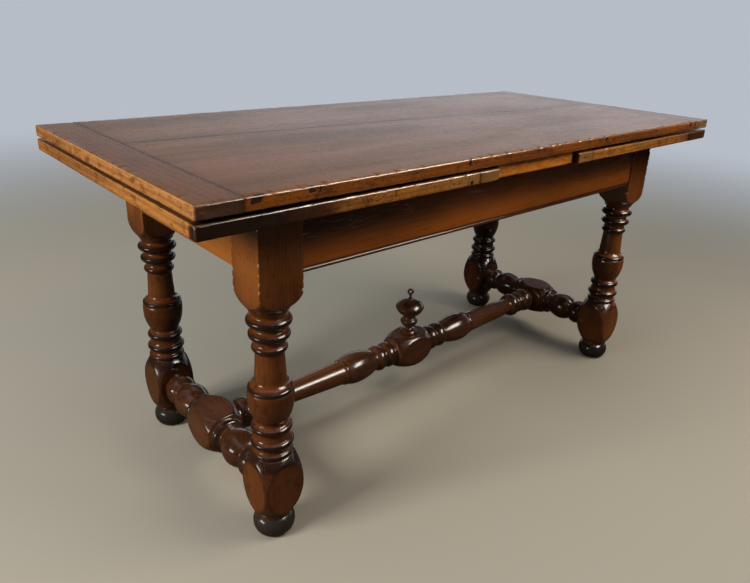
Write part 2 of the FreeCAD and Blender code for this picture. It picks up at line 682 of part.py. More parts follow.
# Loose top
top = Panel(
    -HALF_LENGTH,
    HALF_LENGTH,
    TOP_CLAMP_WIDTH,
    TOP_CLAMP_WIDTH,
    (TOP_SEAM_LEFT, TOP_SEAM_RIGHT),
    TOP_UNDERSIDE,
    TOP_THICKNESS,
)
guide_sockets = [guide_peg(sy, GLUE_LINE) for sy in (-1, 1)]
save("top_board_front", top.board(-1, guide_sockets))
save("top_board_back", top.board(1, guide_sockets))
save("top_tongue", top.spline())
save("top_clamp_left", top.clamp(True, []))
save("top_clamp_right", top.clamp(False, []))
save("top_clamp_pegs", Part.makeCompound(top.pegs()))
save("top_guide_pegs", Part.makeCompound([guide_peg(sy) for sy in (-1, 1)]))

# Leaves and their lopers
for side, side_x in (("left", -1), ("right", 1)):
    panel = leaf_panel(side_x)
    screw_holes = loper_screws(side_x, GLUE_LINE)
    outer_is_low = side_x < 0
    save(side + "_leaf_board_front", panel.board(-1, screw_holes))
    save(side + "_leaf_board_back", panel.board(1, screw_holes))
    save(side + "_leaf_tongue", panel.spline())
    save(side + "_leaf_outer_clamp", panel.clamp(outer_is_low, screw_holes))
    save(side + "_leaf_inner_clamp", panel.clamp(not outer_is_low, screw_holes, rounded=False))
    save(side + "_leaf_clamp_pegs", Part.makeCompound(panel.pegs()))
    save(side + "_loper_front", loper(side_x, -1))
    save(side + "_loper_back", loper(side_x, 1))
    save(side + "_loper_screws", Part.makeCompound(loper_screws(side_x)))
    save(side + "_stop_pegs", Part.makeCompound([stop_peg(side_x, sy) for sy in (-1, 1)]))
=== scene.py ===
# %% [markdown]
# # Dressing a draw-leaf table
# The table has a loose walnut top that lies over two leaves. Each leaf pulls out of an end on two
# sliding bearers. Below are aprons, four turned legs on bun feet, and an H of turned stretchers with a
# finial in the middle. The packed solids are the frame: they hold the sizes, the joints and the bodies.
# One could paint those solids as they are, but their arrises are knife sharp and their faces dead flat.
# So this lesson lays a worn surface over every board and turning, inside the solid that it stands for.

# %% Load the frame
import json
import math
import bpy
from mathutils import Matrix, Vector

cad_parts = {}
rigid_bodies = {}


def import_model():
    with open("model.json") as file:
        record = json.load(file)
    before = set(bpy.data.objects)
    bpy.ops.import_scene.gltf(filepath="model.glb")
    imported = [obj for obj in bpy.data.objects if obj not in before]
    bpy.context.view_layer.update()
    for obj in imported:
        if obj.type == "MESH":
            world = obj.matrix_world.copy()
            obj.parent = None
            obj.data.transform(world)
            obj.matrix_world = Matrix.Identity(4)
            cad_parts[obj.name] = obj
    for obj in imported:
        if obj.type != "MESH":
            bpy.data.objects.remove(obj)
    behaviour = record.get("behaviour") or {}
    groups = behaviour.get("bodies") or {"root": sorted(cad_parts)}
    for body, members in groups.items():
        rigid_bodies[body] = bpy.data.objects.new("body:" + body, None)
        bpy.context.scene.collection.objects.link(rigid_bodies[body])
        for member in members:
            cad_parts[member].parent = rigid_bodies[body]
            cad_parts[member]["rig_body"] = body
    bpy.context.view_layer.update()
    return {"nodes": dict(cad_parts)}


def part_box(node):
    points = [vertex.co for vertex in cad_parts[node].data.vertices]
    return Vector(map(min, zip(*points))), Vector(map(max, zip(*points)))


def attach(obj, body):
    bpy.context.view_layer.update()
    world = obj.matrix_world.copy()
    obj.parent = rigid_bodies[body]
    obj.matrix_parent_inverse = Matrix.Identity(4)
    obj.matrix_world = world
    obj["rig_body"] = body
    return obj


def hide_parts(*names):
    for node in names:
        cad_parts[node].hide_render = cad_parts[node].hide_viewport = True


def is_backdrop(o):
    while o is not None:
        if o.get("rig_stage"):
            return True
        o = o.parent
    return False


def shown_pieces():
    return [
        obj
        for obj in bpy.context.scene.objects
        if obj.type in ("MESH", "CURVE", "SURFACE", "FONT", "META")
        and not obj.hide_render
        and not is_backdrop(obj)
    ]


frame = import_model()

from types import SimpleNamespace

import bpy
import numpy as np
from mathutils import Matrix

MM = 0.001

# %% [markdown]
# ## Camera
# The photograph was taken from the near left corner, a little above the top, with a normal lens. A camera
# can be aimed with a tracking constraint, but the picture leans by about two degrees, so the three axes
# of the camera are worked out from its heading, dip and lean, and written straight into its matrix.
# The shift says how far the picture's middle lies from the lens's own axis.

# %% Aim the camera
PICTURE_WIDTH = 750
FOCAL_PIXELS = 644.06
SHIFT_PIXELS = (-2.4, -24.9)
SENSOR_WIDTH = 36.0
CAMERA_PLACE = (-1.1692, -1.1591, 1.0127)
HEADING = math.radians(41.919)
DIP = math.radians(21.576)
LEAN = math.radians(2.321)


def new_object(name, data):
    """An object of the scene that holds a camera, a lamp or a mesh."""
    item = bpy.data.objects.new(name, data)
    bpy.context.scene.collection.objects.link(item)
    return item


def set_down(item, axes, place):
    """Write an object's three axes and its place as the columns of its matrix."""
    columns = np.eye(4)
    columns[:3, :3] = np.column_stack(axes)
    columns[:3, 3] = place
    item.matrix_world = Matrix(columns.tolist())


def camera_axes(heading, dip, lean):
    """Right, up and back of a camera: level axes from heading and dip, turned about the view by lean."""
    reach = math.cos(dip)
    ahead = np.array([math.sin(heading) * reach, math.cos(heading) * reach, -math.sin(dip)])
    level = np.array([math.cos(heading), -math.sin(heading), 0.0])
    upright = np.cross(level, ahead)
    right = math.cos(lean) * level + math.sin(lean) * upright
    up = math.cos(lean) * upright - math.sin(lean) * level
    return right, up, -ahead


lens = bpy.data.cameras.new("camera")
lens.sensor_fit = "HORIZONTAL"
lens.sensor_width = SENSOR_WIDTH
lens.lens = SENSOR_WIDTH * FOCAL_PIXELS / PICTURE_WIDTH
lens.shift_x = SHIFT_PIXELS[0] / PICTURE_WIDTH
lens.shift_y = SHIFT_PIXELS[1] / PICTURE_WIDTH
camera = new_object("camera", lens)
set_down(camera, camera_axes(HEADING, DIP, LEAN), CAMERA_PLACE)
bpy.context.scene.camera = camera
print("lens in mm", round(lens.lens, 2))

# %% [markdown]
# ## Shader values as Python
# A finish is a net of shader nodes. Building one by hand means naming every node and link. Here one small
# class wraps a socket, so that sums of values are written as sums, and one method adds every other node.

# %% Wrap a socket


class Value:
    """A socket of a net of nodes. Arithmetic on it adds Math nodes."""

    def __init__(self, net, socket):
        self.net = net
        self.socket = socket

    def math(self, operation, first, second=0.0):
        return self.net.add("ShaderNodeMath", {"operation": operation}, {0: first, 1: second})

    def __add__(self, other):
        return self.math("ADD", self, other)

    def __radd__(self, other):
        return self.math("ADD", other, self)

    def __sub__(self, other):
        return self.math("SUBTRACT", self, other)

    def __rsub__(self, other):
        return self.math("SUBTRACT", other, self)

    def __mul__(self, other):
        return self.math("MULTIPLY", self, other)

    def __rmul__(self, other):
        return self.math("MULTIPLY", other, self)

    def __truediv__(self, other):
        return self.math("DIVIDE", self, other)

    def __rtruediv__(self, other):
        return self.math("DIVIDE", other, self)

    def __pow__(self, other):
        return self.math("POWER", self, other)

    def __abs__(self):
        return self.math("ABSOLUTE", self)

    def sine(self):
        return self.math("SINE", self)

    def at_least(self, other):
        return self.math("MAXIMUM", self, other)

    def smooth(self, low, high):
        """0 below low, 1 above high and a smooth step between. A low above high gives the falling step."""
        if low > high:
            return 1 - self.smooth(high, low)
        settings = {"interpolation_type": "SMOOTHSTEP"}
        sockets = {"Value": self, "From Min": low, "From Max": high}
        return self.net.add("ShaderNodeMapRange", settings, sockets)


print("methods of a value", [name for name in vars(Value) if not name.startswith("_")])

# %% Wrap a net of nodes


class Net:
    """A tree of shader nodes."""

    def __init__(self, tree):
        self.tree = tree

    def put(self, socket, value):
        """Link a Value to a socket, or write a number, a colour or a vector on it."""
        if isinstance(value, Value):
            self.tree.links.new(value.socket, socket)
        elif socket.type == "RGBA":
            socket.default_value = (*value[:3], 1.0)
        else:
            socket.default_value = value

    def add(self, kind, settings=None, sockets=None, output=0):
        """Add a node: its settings first, then its sockets. Gives one of its outputs."""
        node = self.tree.nodes.new(kind)
        for name, value in (settings or {}).items():
            setattr(node, name, value)
        for name, value in (sockets or {}).items():
            self.put(node.inputs[name], value)
        return Value(self, node.outputs[output])

    def mix(self, share, first, second):
        """A colour between two colours."""
        settings = {"data_type": "RGBA", "clamp_factor": True}
        return self.add("ShaderNodeMix", settings, {0: share, 6: first, 7: second}, 2)

    def noise(self, place, cells, detail=2.0):
        """Noise from 0 to 1, with so many cells to the metre along each axis."""
        spread = self.add("ShaderNodeVectorMath", {"operation": "MULTIPLY"}, {0: place, 1: cells})
        return self.add("ShaderNodeTexNoise", None, {"Vector": spread, "Scale": 1.0, "Detail": detail})

    def part(self, vector, index):
        """One of the three parts of a vector."""
        return self.add("ShaderNodeSeparateXYZ", None, {0: vector}, index)

    def place(self):
        """The place of each point in the table's own frame, in metres."""
        return self.add("ShaderNodeTexCoord", output="Object")


print("methods of a net", [name for name in vars(Net) if not name.startswith("_")])

# %% Wrap a material


class Finish(Net):
    """A material with one principled shader."""

    def __init__(self, name):
        self.material = bpy.data.materials.new(name)
        self.material.use_nodes = True
        super().__init__(self.material.node_tree)
        self.shader = self.tree.nodes["Principled BSDF"]

    def painted(self, name):
        """A value that the mesh carries at its points. It is 0 on a mesh that lacks it."""
        return self.add("ShaderNodeAttribute", {"attribute_name": name}, None, "Fac")

    def feed(self, sockets):
        """Link or write each named socket of the shader."""
        for name, value in sockets.items():
            self.put(self.shader.inputs[name], value)

    def finish(self, colour, roughness, height, depth, others):
        """Feed the colour, the roughness, a bump of so many metres, and the other sockets as given."""
        bump = self.add("ShaderNodeBump", None, {"Height": height, "Distance": depth, "Strength": 1.0})
        self.feed({"Base Color": colour, "Roughness": roughness, "Normal": bump, **others})
        return self.material


print("methods of a finish", [name for name in vars(Finish) if not name.startswith("_")])

# %% [markdown]
# ## Light
# Two soft boxes light the table. One stands far off to the left and brings out the end faces. The other is
# warmer and stands high in front of the long side, so that the leaves shade the upper part of the apron.
# Two gleams show only in the wax. The front one draws the second bright spot on every ring and the bright
# line on every arris. The left one stands lower than the top, because the wax would otherwise show it there
# as a white sheet when the table is seen from the right. For the same reason the left box itself doesn't
# show in the wax. A sun lamp would be simpler, but waxed turnings show the shape of what lights them.
# The world is a plain grey-blue studio: bright overhead and towards the far right, where the top mirrors it
# at a low angle, and dim behind the camera. The camera itself sees it as one pale tone.

# %% Set the world
STUDIO_COLOUR = (0.90, 0.96, 1.04)
BACKDROP = (0.47, 0.51, 0.57)
STUDIO_DIM = 0.04
OVERHEAD_STRENGTH = 0.80
OVERHEAD_RISE = (0.55, 1.0)
BESIDE_STRENGTH = 1.15
BESIDE_HEADING = (0.86, 0.51)
BESIDE_WIDTH = (0.45, 1.0)
BESIDE_FADE = (0.35, 0.02)

bpy.context.scene.view_settings.view_transform = "Standard"
world = bpy.data.worlds.new("studio")
bpy.context.scene.world = world
world.use_nodes = True
studio = Net(world.node_tree)
way = studio.add("ShaderNodeTexCoord", output="Generated")
way_x, way_y, way_z = (studio.part(way, index) for index in range(3))
overhead = way_z.smooth(*OVERHEAD_RISE) * OVERHEAD_STRENGTH
sideways = way_x * BESIDE_HEADING[0] + way_y * BESIDE_HEADING[1]
beside = sideways.smooth(*BESIDE_WIDTH) * BESIDE_STRENGTH * way_z.smooth(*BESIDE_FADE)
seen = studio.add("ShaderNodeLightPath", output="Is Camera Ray")
backing = world.node_tree.nodes["Background"]
studio.put(backing.inputs["Color"], studio.mix(seen, STUDIO_COLOUR, BACKDROP))
studio.put(backing.inputs["Strength"], (overhead + beside + STUDIO_DIM) * (1 - seen) + seen)
print("world nodes", len(world.node_tree.nodes))

# %% Set the soft boxes
NEAR_WHITE = (1.0, 0.95, 0.87)
WARM_WHITE = (1.0, 0.85, 0.68)
LEFT_TARGET = (-0.4, 0.0, 0.5)
FRONT_TARGET = (0.0, -0.2, 0.5)
UPRIGHT = (0.0, 0.0, 1.0)


def soft_box(name, place, target, size, watts, colour):
    """A rectangular lamp at a place, turned to face a target, with its width level."""
    lamp = bpy.data.lights.new(name, "AREA")
    lamp.shape = "RECTANGLE"
    lamp.size, lamp.size_y = size
    lamp.energy = watts
    lamp.color = colour
    back = np.subtract(place, target)
    back = back / np.linalg.norm(back)
    right = np.cross(UPRIGHT, back)
    right = right / np.linalg.norm(right)
    box = new_object(name, lamp)
    set_down(box, (right, np.cross(back, right), back), place)
    return box


left_box = soft_box(
    "left_box", (-3.6, 0.15, 2.1), LEFT_TARGET, size=(1.4, 1.1), watts=134.0, colour=NEAR_WHITE,
)
left_box.visible_glossy = False
left_gleam = soft_box(
    "left_gleam", (-3.1, 0.15, 0.50), LEFT_TARGET, size=(1.0, 0.4), watts=17.0, colour=NEAR_WHITE,
)
left_gleam.visible_diffuse = False
soft_box("front_box", (1.25, -1.60, 2.30), FRONT_TARGET, size=(1.6, 1.0), watts=44.0, colour=WARM_WHITE)
front_gleam = soft_box(
    "front_gleam", (0.75, -1.75, 1.60), FRONT_TARGET, size=(1.4, 0.7), watts=46.0, colour=NEAR_WHITE,
)
front_gleam.visible_diffuse = False
print("lamps", [item.name for item in bpy.data.lights])

# %% [markdown]
# ## Walnut grain
# A board shows growth rings cut lengthways: rings round a pith that lies outside the board, so the bands
# run along it and sway. Over them lie long streaks, fine fibres and short open pores. A wood picture would
# repeat and would need unwrapping. Object coordinates need neither, and run through a board's faces and
# ends alike. Each board carries its own lot number, which moves the pattern so that no two boards match.
# The cells of a noise are given as three numbers: how many fill a metre along each axis.

# %% Grow the grain
GRAIN_TURN = {"x": (0.0, 0.0, 0.0), "y": (0.0, 0.0, -math.pi / 2), "z": (0.0, math.pi / 2, 0.0)}
PITH_DEPTH = 0.13
LOT_MOVE = (1.7, 0.23, 0.31)
SWAY_CELLS = (1.5, 7.0, 7.0)
SWAY_TURN = 17.0
STREAK_CELLS = (1.2, 24.0, 24.0)
FIBRE_CELLS = (9.0, 330.0, 330.0)
PORE_CELLS = (26.0, 820.0, 820.0)
PATINA_CELLS = (5.0, 6.0, 6.0)
STREAK_SHARE = 0.95
FIBRE_SHARE = 0.42
FIGURE_STEP = (0.34, 1.04)
PORE_SHADE = 0.4
FIBRE_HEIGHT = 0.35
PATINA_HEIGHT = 0.25
PORE_HEIGHT = 0.6


def scaled(colour, *shares):
    """A colour with each part taken times its own share, or all of them times one."""
    each = shares if len(shares) == 3 else shares * 3
    return tuple(part * share for part, share in zip(colour, each))


class Grain:
    """Grain fields of a board whose fibres run along one axis.

    The rings are a sine of the distance to the pith, moved on and back by a slow sway. The figure is a
    smooth step of rings, streaks and fibres, added up by their shares.
    """

    def __init__(self, finish, axis, rings):
        ring_spacing, ring_share = rings
        self.place = finish.place()
        lot = finish.painted("lot")
        moves = {index: lot * share for index, share in enumerate(LOT_MOVE)}
        shift = finish.add("ShaderNodeCombineXYZ", None, moves)
        sockets = {"Vector": self.place, "Rotation": GRAIN_TURN[axis]}
        turned = finish.add("ShaderNodeMapping", {"vector_type": "POINT"}, sockets)
        self.laid = finish.add("ShaderNodeVectorMath", {"operation": "ADD"}, {0: turned, 1: shift})
        across = finish.part(self.laid, 1)
        deep = finish.part(self.laid, 2)
        sway = finish.noise(self.laid, SWAY_CELLS, 2.0)
        distance = (across * across + (deep + PITH_DEPTH) ** 2.0) ** 0.5
        turns = distance * (2 * math.pi / ring_spacing) + sway * SWAY_TURN
        bands = turns.sine() * 0.5
        self.streak = finish.noise(self.laid, STREAK_CELLS, 3.0)
        self.fibre = finish.noise(self.laid, FIBRE_CELLS, 3.0)
        self.pores = finish.noise(self.laid, PORE_CELLS, 1.0).smooth(0.60, 0.70)
        self.patina = finish.noise(self.place, PATINA_CELLS, 3.0)
        figure = bands * ring_share + self.streak * STREAK_SHARE + self.fibre * FIBRE_SHARE
        self.figure = figure.smooth(*FIGURE_STEP)

    def colour(self, finish, deep, pale):
        """Deep wood in the dark bands, pale wood in the light ones, and dark pores."""
        wood = finish.mix(self.figure, deep, pale)
        return finish.mix(self.pores * 0.4, wood, scaled(deep, PORE_SHADE))

    def height(self, fibre_height=FIBRE_HEIGHT):
        """Fibres and patina stand up a little, and pores are sunk."""
        return self.fibre * fibre_height + self.patina * PATINA_HEIGHT - self.pores * PORE_HEIGHT


print("grain axes", sorted(GRAIN_TURN))

# %% [markdown]
# ## Finish of the boards
# The faces of the boards have gone a soft dull brown, while the edges keep a golden colour, rubbed pale
# along the arris and black where dirt sits in the seams. Such wear could be guessed by the shader from the
# bend of the surface, but the boards know exactly where their edges are. So each mesh carries values:
# side, rub, seam, end, grime, and age, which runs from -1, stained dark, to 1, bleached. Small plugs and
# knots on the front edge are given by their middle, half width and half height, all in millimetres, their
# slant and how ragged they are. Wide clouds of redder and duller wood lie over the faces.

# %% Mix the layers of a board's finish
# Dirt in the seams of the boards; in a long apron's groove the same colour is partly a painted shade.
DIRT_AND_SHADE = (0.012, 0.008, 0.006)
CHARRED = (0.024, 0.009, 0.004)
STAINED = (0.092, 0.027, 0.007)
BLEACHED = (0.38, 0.21, 0.075)
RUBBED = (0.62, 0.33, 0.10)
REDDER = (1.10, 0.88, 0.70)
DULLER = (0.72, 0.82, 0.90)
GREYER = (0.80, 0.88, 1.30)
BROWNER = (0.50, 0.42, 0.42)
BOARD_RINGS = (0.009, 0.22)
BLOTCH_CELLS = (34.0, 34.0, 60.0)
FLECK_CELLS = (150.0, 150.0, 190.0)
SPECK_CELLS = (330.0, 330.0, 360.0)
CLOUD_CELLS = (2.4, 8.0, 8.0)


class BoardFields:
    """What a board's finish reads: its grain, three sizes of noise, and the values its mesh carries."""

    def __init__(self, finish, axis):
        self.grain = Grain(finish, axis, BOARD_RINGS)
        self.blotch = finish.noise(self.grain.place, BLOTCH_CELLS, 4.0)
        self.fleck = finish.noise(self.grain.place, FLECK_CELLS, 2.0)
        self.cloud = finish.noise(self.grain.laid, CLOUD_CELLS, 3.0)
        self.side = finish.painted("side")
        self.rub = finish.painted("rub")
        self.seam = finish.painted("seam")
        self.end = finish.painted("end")
        self.age = finish.painted("age")
        self.grime = finish.painted("grime")


def face_wood(finish, board, deep, pale):
    """Grain with patina, and wide clouds of redder and of duller wood over it."""
    wood = board.grain.colour(finish, deep, pale)
    wood = finish.mix(board.grain.patina.smooth(0.45, 0.75) * 0.35, wood, deep)
    wood = finish.mix(board.cloud.smooth(0.50, 0.72) * 0.5, wood, scaled(pale, *REDDER))
    return finish.mix(board.cloud.smooth(0.50, 0.30) * 0.6, wood, scaled(deep, *DULLER))


def edge_wood(finish, board, deep, pale):
    """Grain with clouds of greyer wood, and small brown blotches over it."""
    wood = board.grain.colour(finish, deep, pale)
    wood = finish.mix(board.cloud.smooth(0.46, 0.62) * 0.5, wood, scaled(deep, *GREYER))
    return finish.mix(board.blotch.smooth(0.50, 0.72) * 0.65, wood, scaled(deep, *BROWNER))


def aged(finish, board, wood, gold):
    """Wood bleached where age is above 0, stained and then charred below 0, and rubbed on the arrises."""
    bleached = finish.mix(board.grain.streak, BLEACHED, gold)
    wood = finish.mix(board.age.smooth(0.0, 1.0) * 0.9, wood, bleached)
    stain = board.age * -1.0 + board.blotch * 0.5 - 0.25
    wood = finish.mix(stain.smooth(0.0, 0.45), wood, STAINED)
    wood = finish.mix(stain.smooth(0.30, 0.90), wood, CHARRED)
    honey = board.rub.smooth(0.30, 0.95) * board.blotch.smooth(0.32, 0.5) * (0.6 - board.end * 0.45)
    return finish.mix(honey, wood, RUBBED)


print("cells of the noises", BLOTCH_CELLS, FLECK_CELLS, SPECK_CELLS, CLOUD_CELLS)

# %% Mark the edges and put the layers together
WAXED_BOARD = {"Specular IOR Level": 0.34, "Coat Roughness": 0.10}
BOARD_BUMP = 0.06 * MM
BOARD_FIBRE_HEIGHT = 0.15


def spot(x, z, border, place):
    """A dark spot on a front edge: 1 inside a slanted, rounded box round its middle, and 0 outside it.

    It is a falling step of (distance along x / half width) cubed + (distance along z / half height)
    cubed + noise that makes the border ragged.
    """
    middle_x, middle_z, half_x, half_z, slant, ragged = place
    drop = z - middle_z * MM
    far_x = (abs(x - middle_x * MM - drop * slant) / (half_x * MM)) ** 3.0
    far_z = (abs(drop) / (half_z * MM)) ** 3.0
    return (far_x + far_z + border * ragged).smooth(1.4, 0.7)


def edge_marks(finish, board, spots, pitted):
    """Dark pits, as strong as pitted says, and the given spots, on the edges and arrises alone."""
    edge = board.side + board.rub
    speck = finish.noise(board.grain.place, SPECK_CELLS, 1.0)
    flaw = board.fleck.smooth(0.60, 0.70).at_least((speck + board.blotch * 0.4).smooth(0.78, 0.86))
    marks = flaw * edge.smooth(0.2, 0.9) * pitted
    x = finish.part(board.grain.place, 0)
    z = finish.part(board.grain.place, 2)
    border = board.fleck + board.blotch - 1.0
    for place in spots:
        marks = marks.at_least(spot(x, z, border, place) * edge.smooth(0.1, 0.5))
    return marks


def board_finish(name, axis, face, edge, end, spots=(), pitted=0.7):
    """Walnut with a face colour, an edge colour and an end colour, each a deep and a pale one."""
    finish = Finish(name)
    board = BoardFields(finish, axis)
    wood = finish.mix(board.side, face_wood(finish, board, *face), edge_wood(finish, board, *edge))
    wood = finish.mix(board.end, wood, finish.mix(board.blotch.smooth(0.30, 0.70), *end))
    wood = aged(finish, board, wood, edge[1])
    marks = edge_marks(finish, board, spots, pitted)
    wood = finish.mix(marks * 0.92, wood, CHARRED)
    wood = finish.mix(board.seam * (board.side * 0.45 + 0.45), wood, DIRT_AND_SHADE)
    wood = finish.mix(board.grime * (board.cloud * 0.9 + 0.5), wood, DIRT_AND_SHADE)
    roughness = board.grain.fibre * 0.08 + board.blotch * 0.05 + 0.20 - board.rub * 0.06
    height = board.grain.height(BOARD_FIBRE_HEIGHT) - marks * 3.0 - board.seam * 4.0
    wax = board.rub * 0.9 + board.cloud.smooth(0.35, 0.70) * 0.16
    return finish.finish(wood, roughness, height, BOARD_BUMP, {**WAXED_BOARD, "Coat Weight": wax})


print("bump of the boards in mm", BOARD_BUMP / MM)

# %% Mix the finishes of the boards
TOP_FACE = ((0.116, 0.044, 0.012), (0.190, 0.076, 0.021))
CLAMP_FACE = ((0.108, 0.038, 0.012), (0.175, 0.064, 0.019))
LEAF_FACE = ((0.150, 0.054, 0.016), (0.300, 0.115, 0.036))
EDGE = ((0.220, 0.054, 0.005), (0.430, 0.130, 0.015))
CLAMP_EDGE = ((0.280, 0.106, 0.028), (0.540, 0.238, 0.078))
LEAF_EDGE = ((0.370, 0.120, 0.015), (0.700, 0.300, 0.054))
LEAF_CLAMP_EDGE = ((0.260, 0.093, 0.020), (0.520, 0.218, 0.056))
TOP_END = ((0.080, 0.034, 0.018), (0.135, 0.062, 0.034))
PALE_END = ((0.210, 0.115, 0.055), (0.360, 0.215, 0.110))
# The centre board's ends are painted much lighter, to make up for the shade that the top casts on them.
CENTRE_END_PAINTED_LIGHT = ((0.580, 0.165, 0.019), (0.840, 0.310, 0.044))
LEAF_END = ((0.024, 0.010, 0.006), (0.056, 0.024, 0.012))
CLAMP_SPOTS = ((744.0, 751.0, 8.0, 4.5, 0.0, 3.0),)
TOP_SPOTS = (
    (-699.0, 755.0, 9.0, 7.0, 0.6, 2.2),
    (-234.0, 753.0, 4.4, 5.5, 0.0, 1.0),
    (251.0, 753.0, 4.4, 5.5, 0.0, 1.0),
    (692.0, 752.0, 5.0, 6.0, 0.0, 1.5),
    (-588.0, 753.0, 15.0, 6.0, 0.0, 7.0),
)
LEAF_SPOTS = (
    (-225.0, 712.0, 5.0, 4.5, 0.0, 1.0),
    (-262.0, 716.0, 2.0, 2.0, 0.0, 1.0),
    (-276.0, 717.0, 2.0, 2.0, 0.0, 1.0),
    (176.0, 720.0, 14.0, 5.0, 0.0, 5.0),
)
CLAMP_PITS = 0.4
CLAMP_COLOURS = (CLAMP_FACE, CLAMP_EDGE)
LEAF_COLOURS = (LEAF_FACE, LEAF_EDGE, LEAF_END)
LEAF_CLAMP_COLOURS = (LEAF_FACE, LEAF_CLAMP_EDGE, LEAF_END)

FINISH = {
    "top_board": board_finish("top_board_walnut", "x", TOP_FACE, EDGE, TOP_END, TOP_SPOTS),
    "top_clamp_left": board_finish("top_clamp_left_walnut", "y", *CLAMP_COLOURS, TOP_END, (), CLAMP_PITS),
    "top_clamp_right": board_finish("top_clamp_right_walnut", "y", *CLAMP_COLOURS, PALE_END, CLAMP_SPOTS),
    "leaf_board": board_finish("leaf_board_walnut", "x", *LEAF_COLOURS, LEAF_SPOTS),
    "leaf_clamp": board_finish("leaf_clamp_walnut", "y", *LEAF_CLAMP_COLOURS, LEAF_SPOTS, CLAMP_PITS),
    "centre_board": board_finish("centre_board_walnut", "x", LEAF_FACE, EDGE, CENTRE_END_PAINTED_LIGHT),
}
print("board finishes", sorted(FINISH))

# %% [markdown]
# ## Finish of the turnings
# Rubbed wax has gathered on the rings of the legs until they are almost black, while the coves, the tapers
# and the square blocks stay a warm red brown. The legs are lightest at the top, where they meet the aprons.
# One could use a material for each band, but the bands belong to the turned outline. So the mesh carries
# crest, which is high on narrow rings, and tone, which runs from 0, the darkest wood, to 1, the lightest,
# and below 0 where black wax lies over the wood, as on the collar above a leg's low block.

# %% Mix the finishes of the turnings
RING_BLACK = (0.012, 0.006, 0.004)
WAXED_TURNING = {"Specular IOR Level": 0.30, "Coat Weight": 0.5, "Coat Roughness": 0.06}
TURNED_RINGS = (0.007, 0.12)
TURNED_BUMP = 0.14 * MM
SMEAR_CELLS = (22.0, 22.0, 22.0)
GRIME_CELLS = (60.0, 60.0, 45.0)
FLY_SPECK_CELLS = (240.0, 240.0, 130.0)
COVE_LIGHT = 0.14
PATINA_SHADE = 0.5
RUBBED_LIGHT = 1.35


def turned_finish(name, axis, dark, light):
    """Walnut between a dark and a light pair of colours, blackened on its rings, shoulders and collars."""
    finish = Finish(name)
    grain = Grain(finish, axis, TURNED_RINGS)
    tone = finish.painted("tone")
    crest = finish.painted("crest")
    rub = finish.painted("rub")
    shoulder = finish.painted("shoulder")
    smear = finish.noise(grain.place, SMEAR_CELLS, 3.0)
    grime = finish.noise(grain.place, GRIME_CELLS, 4.0)
    speck = finish.noise(grain.place, FLY_SPECK_CELLS, 2.0)
    lit = tone + (crest * -1.0).smooth(0.1, 0.9) * COVE_LIGHT
    wood = finish.mix(lit, grain.colour(finish, *dark), grain.colour(finish, *light))
    wood = finish.mix(grain.patina.smooth(0.45, 0.75) * 0.5, wood, scaled(dark[0], PATINA_SHADE))
    wood = finish.mix(grime.smooth(0.54, 0.72) * (1.05 - tone) * 0.6, wood, RING_BLACK)
    wood = finish.mix((crest * 0.9 + (smear - 0.5) * 0.7).smooth(0.0, 0.7) * 0.9, wood, RING_BLACK)
    wood = finish.mix(rub * smear.smooth(0.35, 0.6) * 0.5, wood, scaled(light[1], RUBBED_LIGHT))
    wood = finish.mix(speck.smooth(0.62, 0.72) * tone * 0.7, wood, dark[0])
    wood = finish.mix(shoulder * (1 - tone) * 0.8, wood, RING_BLACK)
    wood = finish.mix((tone * -1.0).smooth(0.0, 0.45) * 0.75, wood, RING_BLACK)
    roughness = smear * 0.12 + grain.fibre * 0.08 + 0.11 + shoulder * 0.06
    return finish.finish(wood, roughness, grain.height(), TURNED_BUMP, WAXED_TURNING)


LEG_DARK = ((0.030, 0.008, 0.002), (0.098, 0.026, 0.006))
LEG_LIGHT = ((0.178, 0.050, 0.008), (0.275, 0.086, 0.016))
LOW_DARK = ((0.024, 0.008, 0.003), (0.072, 0.026, 0.010))
LOW_LIGHT = ((0.082, 0.027, 0.010), (0.184, 0.066, 0.022))
FOOT_DARK = ((0.012, 0.009, 0.008), (0.026, 0.020, 0.017))
FOOT_LIGHT = ((0.024, 0.019, 0.016), (0.046, 0.036, 0.030))

FINISH["leg"] = turned_finish("leg_walnut", "z", LEG_DARK, LEG_LIGHT)
FINISH["end_stretcher"] = turned_finish("end_stretcher_walnut", "y", LOW_DARK, LOW_LIGHT)
FINISH["long_stretcher"] = turned_finish("long_stretcher_walnut", "x", LOW_DARK, LOW_LIGHT)
FINISH["finial"] = turned_finish("finial_walnut", "z", LOW_DARK, LOW_LIGHT)
FINISH["foot"] = turned_finish("foot_walnut", "z", FOOT_DARK, FOOT_LIGHT)
print("turned finishes", [key for key in FINISH if "board" not in key and "clamp" not in key])

# %% [markdown]
# ## Finish of the plain pieces
# End aprons, sliding bearers, pegs and screws keep their packed solids, and a long apron is one moulded
# section, so a plain grained finish does for all of them. The long aprons carry three values as well: the
# dirt and a painted shade in their groove, the smooth bead, which is painted darker, and a painted shade
# under the leaves. The solids carry none, so these read 0 there. The aprons are golden walnut, the bearers
# and pegs are raw oak gone grey, and the screws and the ring in the finial are dull iron.

# %% Mix the plain finishes
PLAIN_WOOD = {"Specular IOR Level": 0.30}
OLD_IRON = {"Metallic": 0.85}
PLAIN_RINGS = (0.011, 0.08)
PLAIN_BUMP = 0.2 * MM
# Shares of the deep colour for a long apron's painted shade under the leaves, and for its darker bead.
SHADE_SHARES = (0.12, 0.10, 0.10)
IRON_CELLS = (420.0, 420.0, 420.0)
APRON_GOLD = ((0.325, 0.083, 0.006), (0.570, 0.162, 0.015))
END_APRON_GOLD = ((0.240, 0.080, 0.013), (0.355, 0.128, 0.026))
GREY_OAK = ((0.170, 0.100, 0.050), (0.330, 0.210, 0.115))
PEG_OAK = ((0.150, 0.085, 0.040), (0.280, 0.170, 0.085))
SCREW_IRON = ((0.20, 0.18, 0.16), (0.42, 0.40, 0.37))
EYE_IRON = ((0.060, 0.034, 0.020), (0.160, 0.100, 0.062))


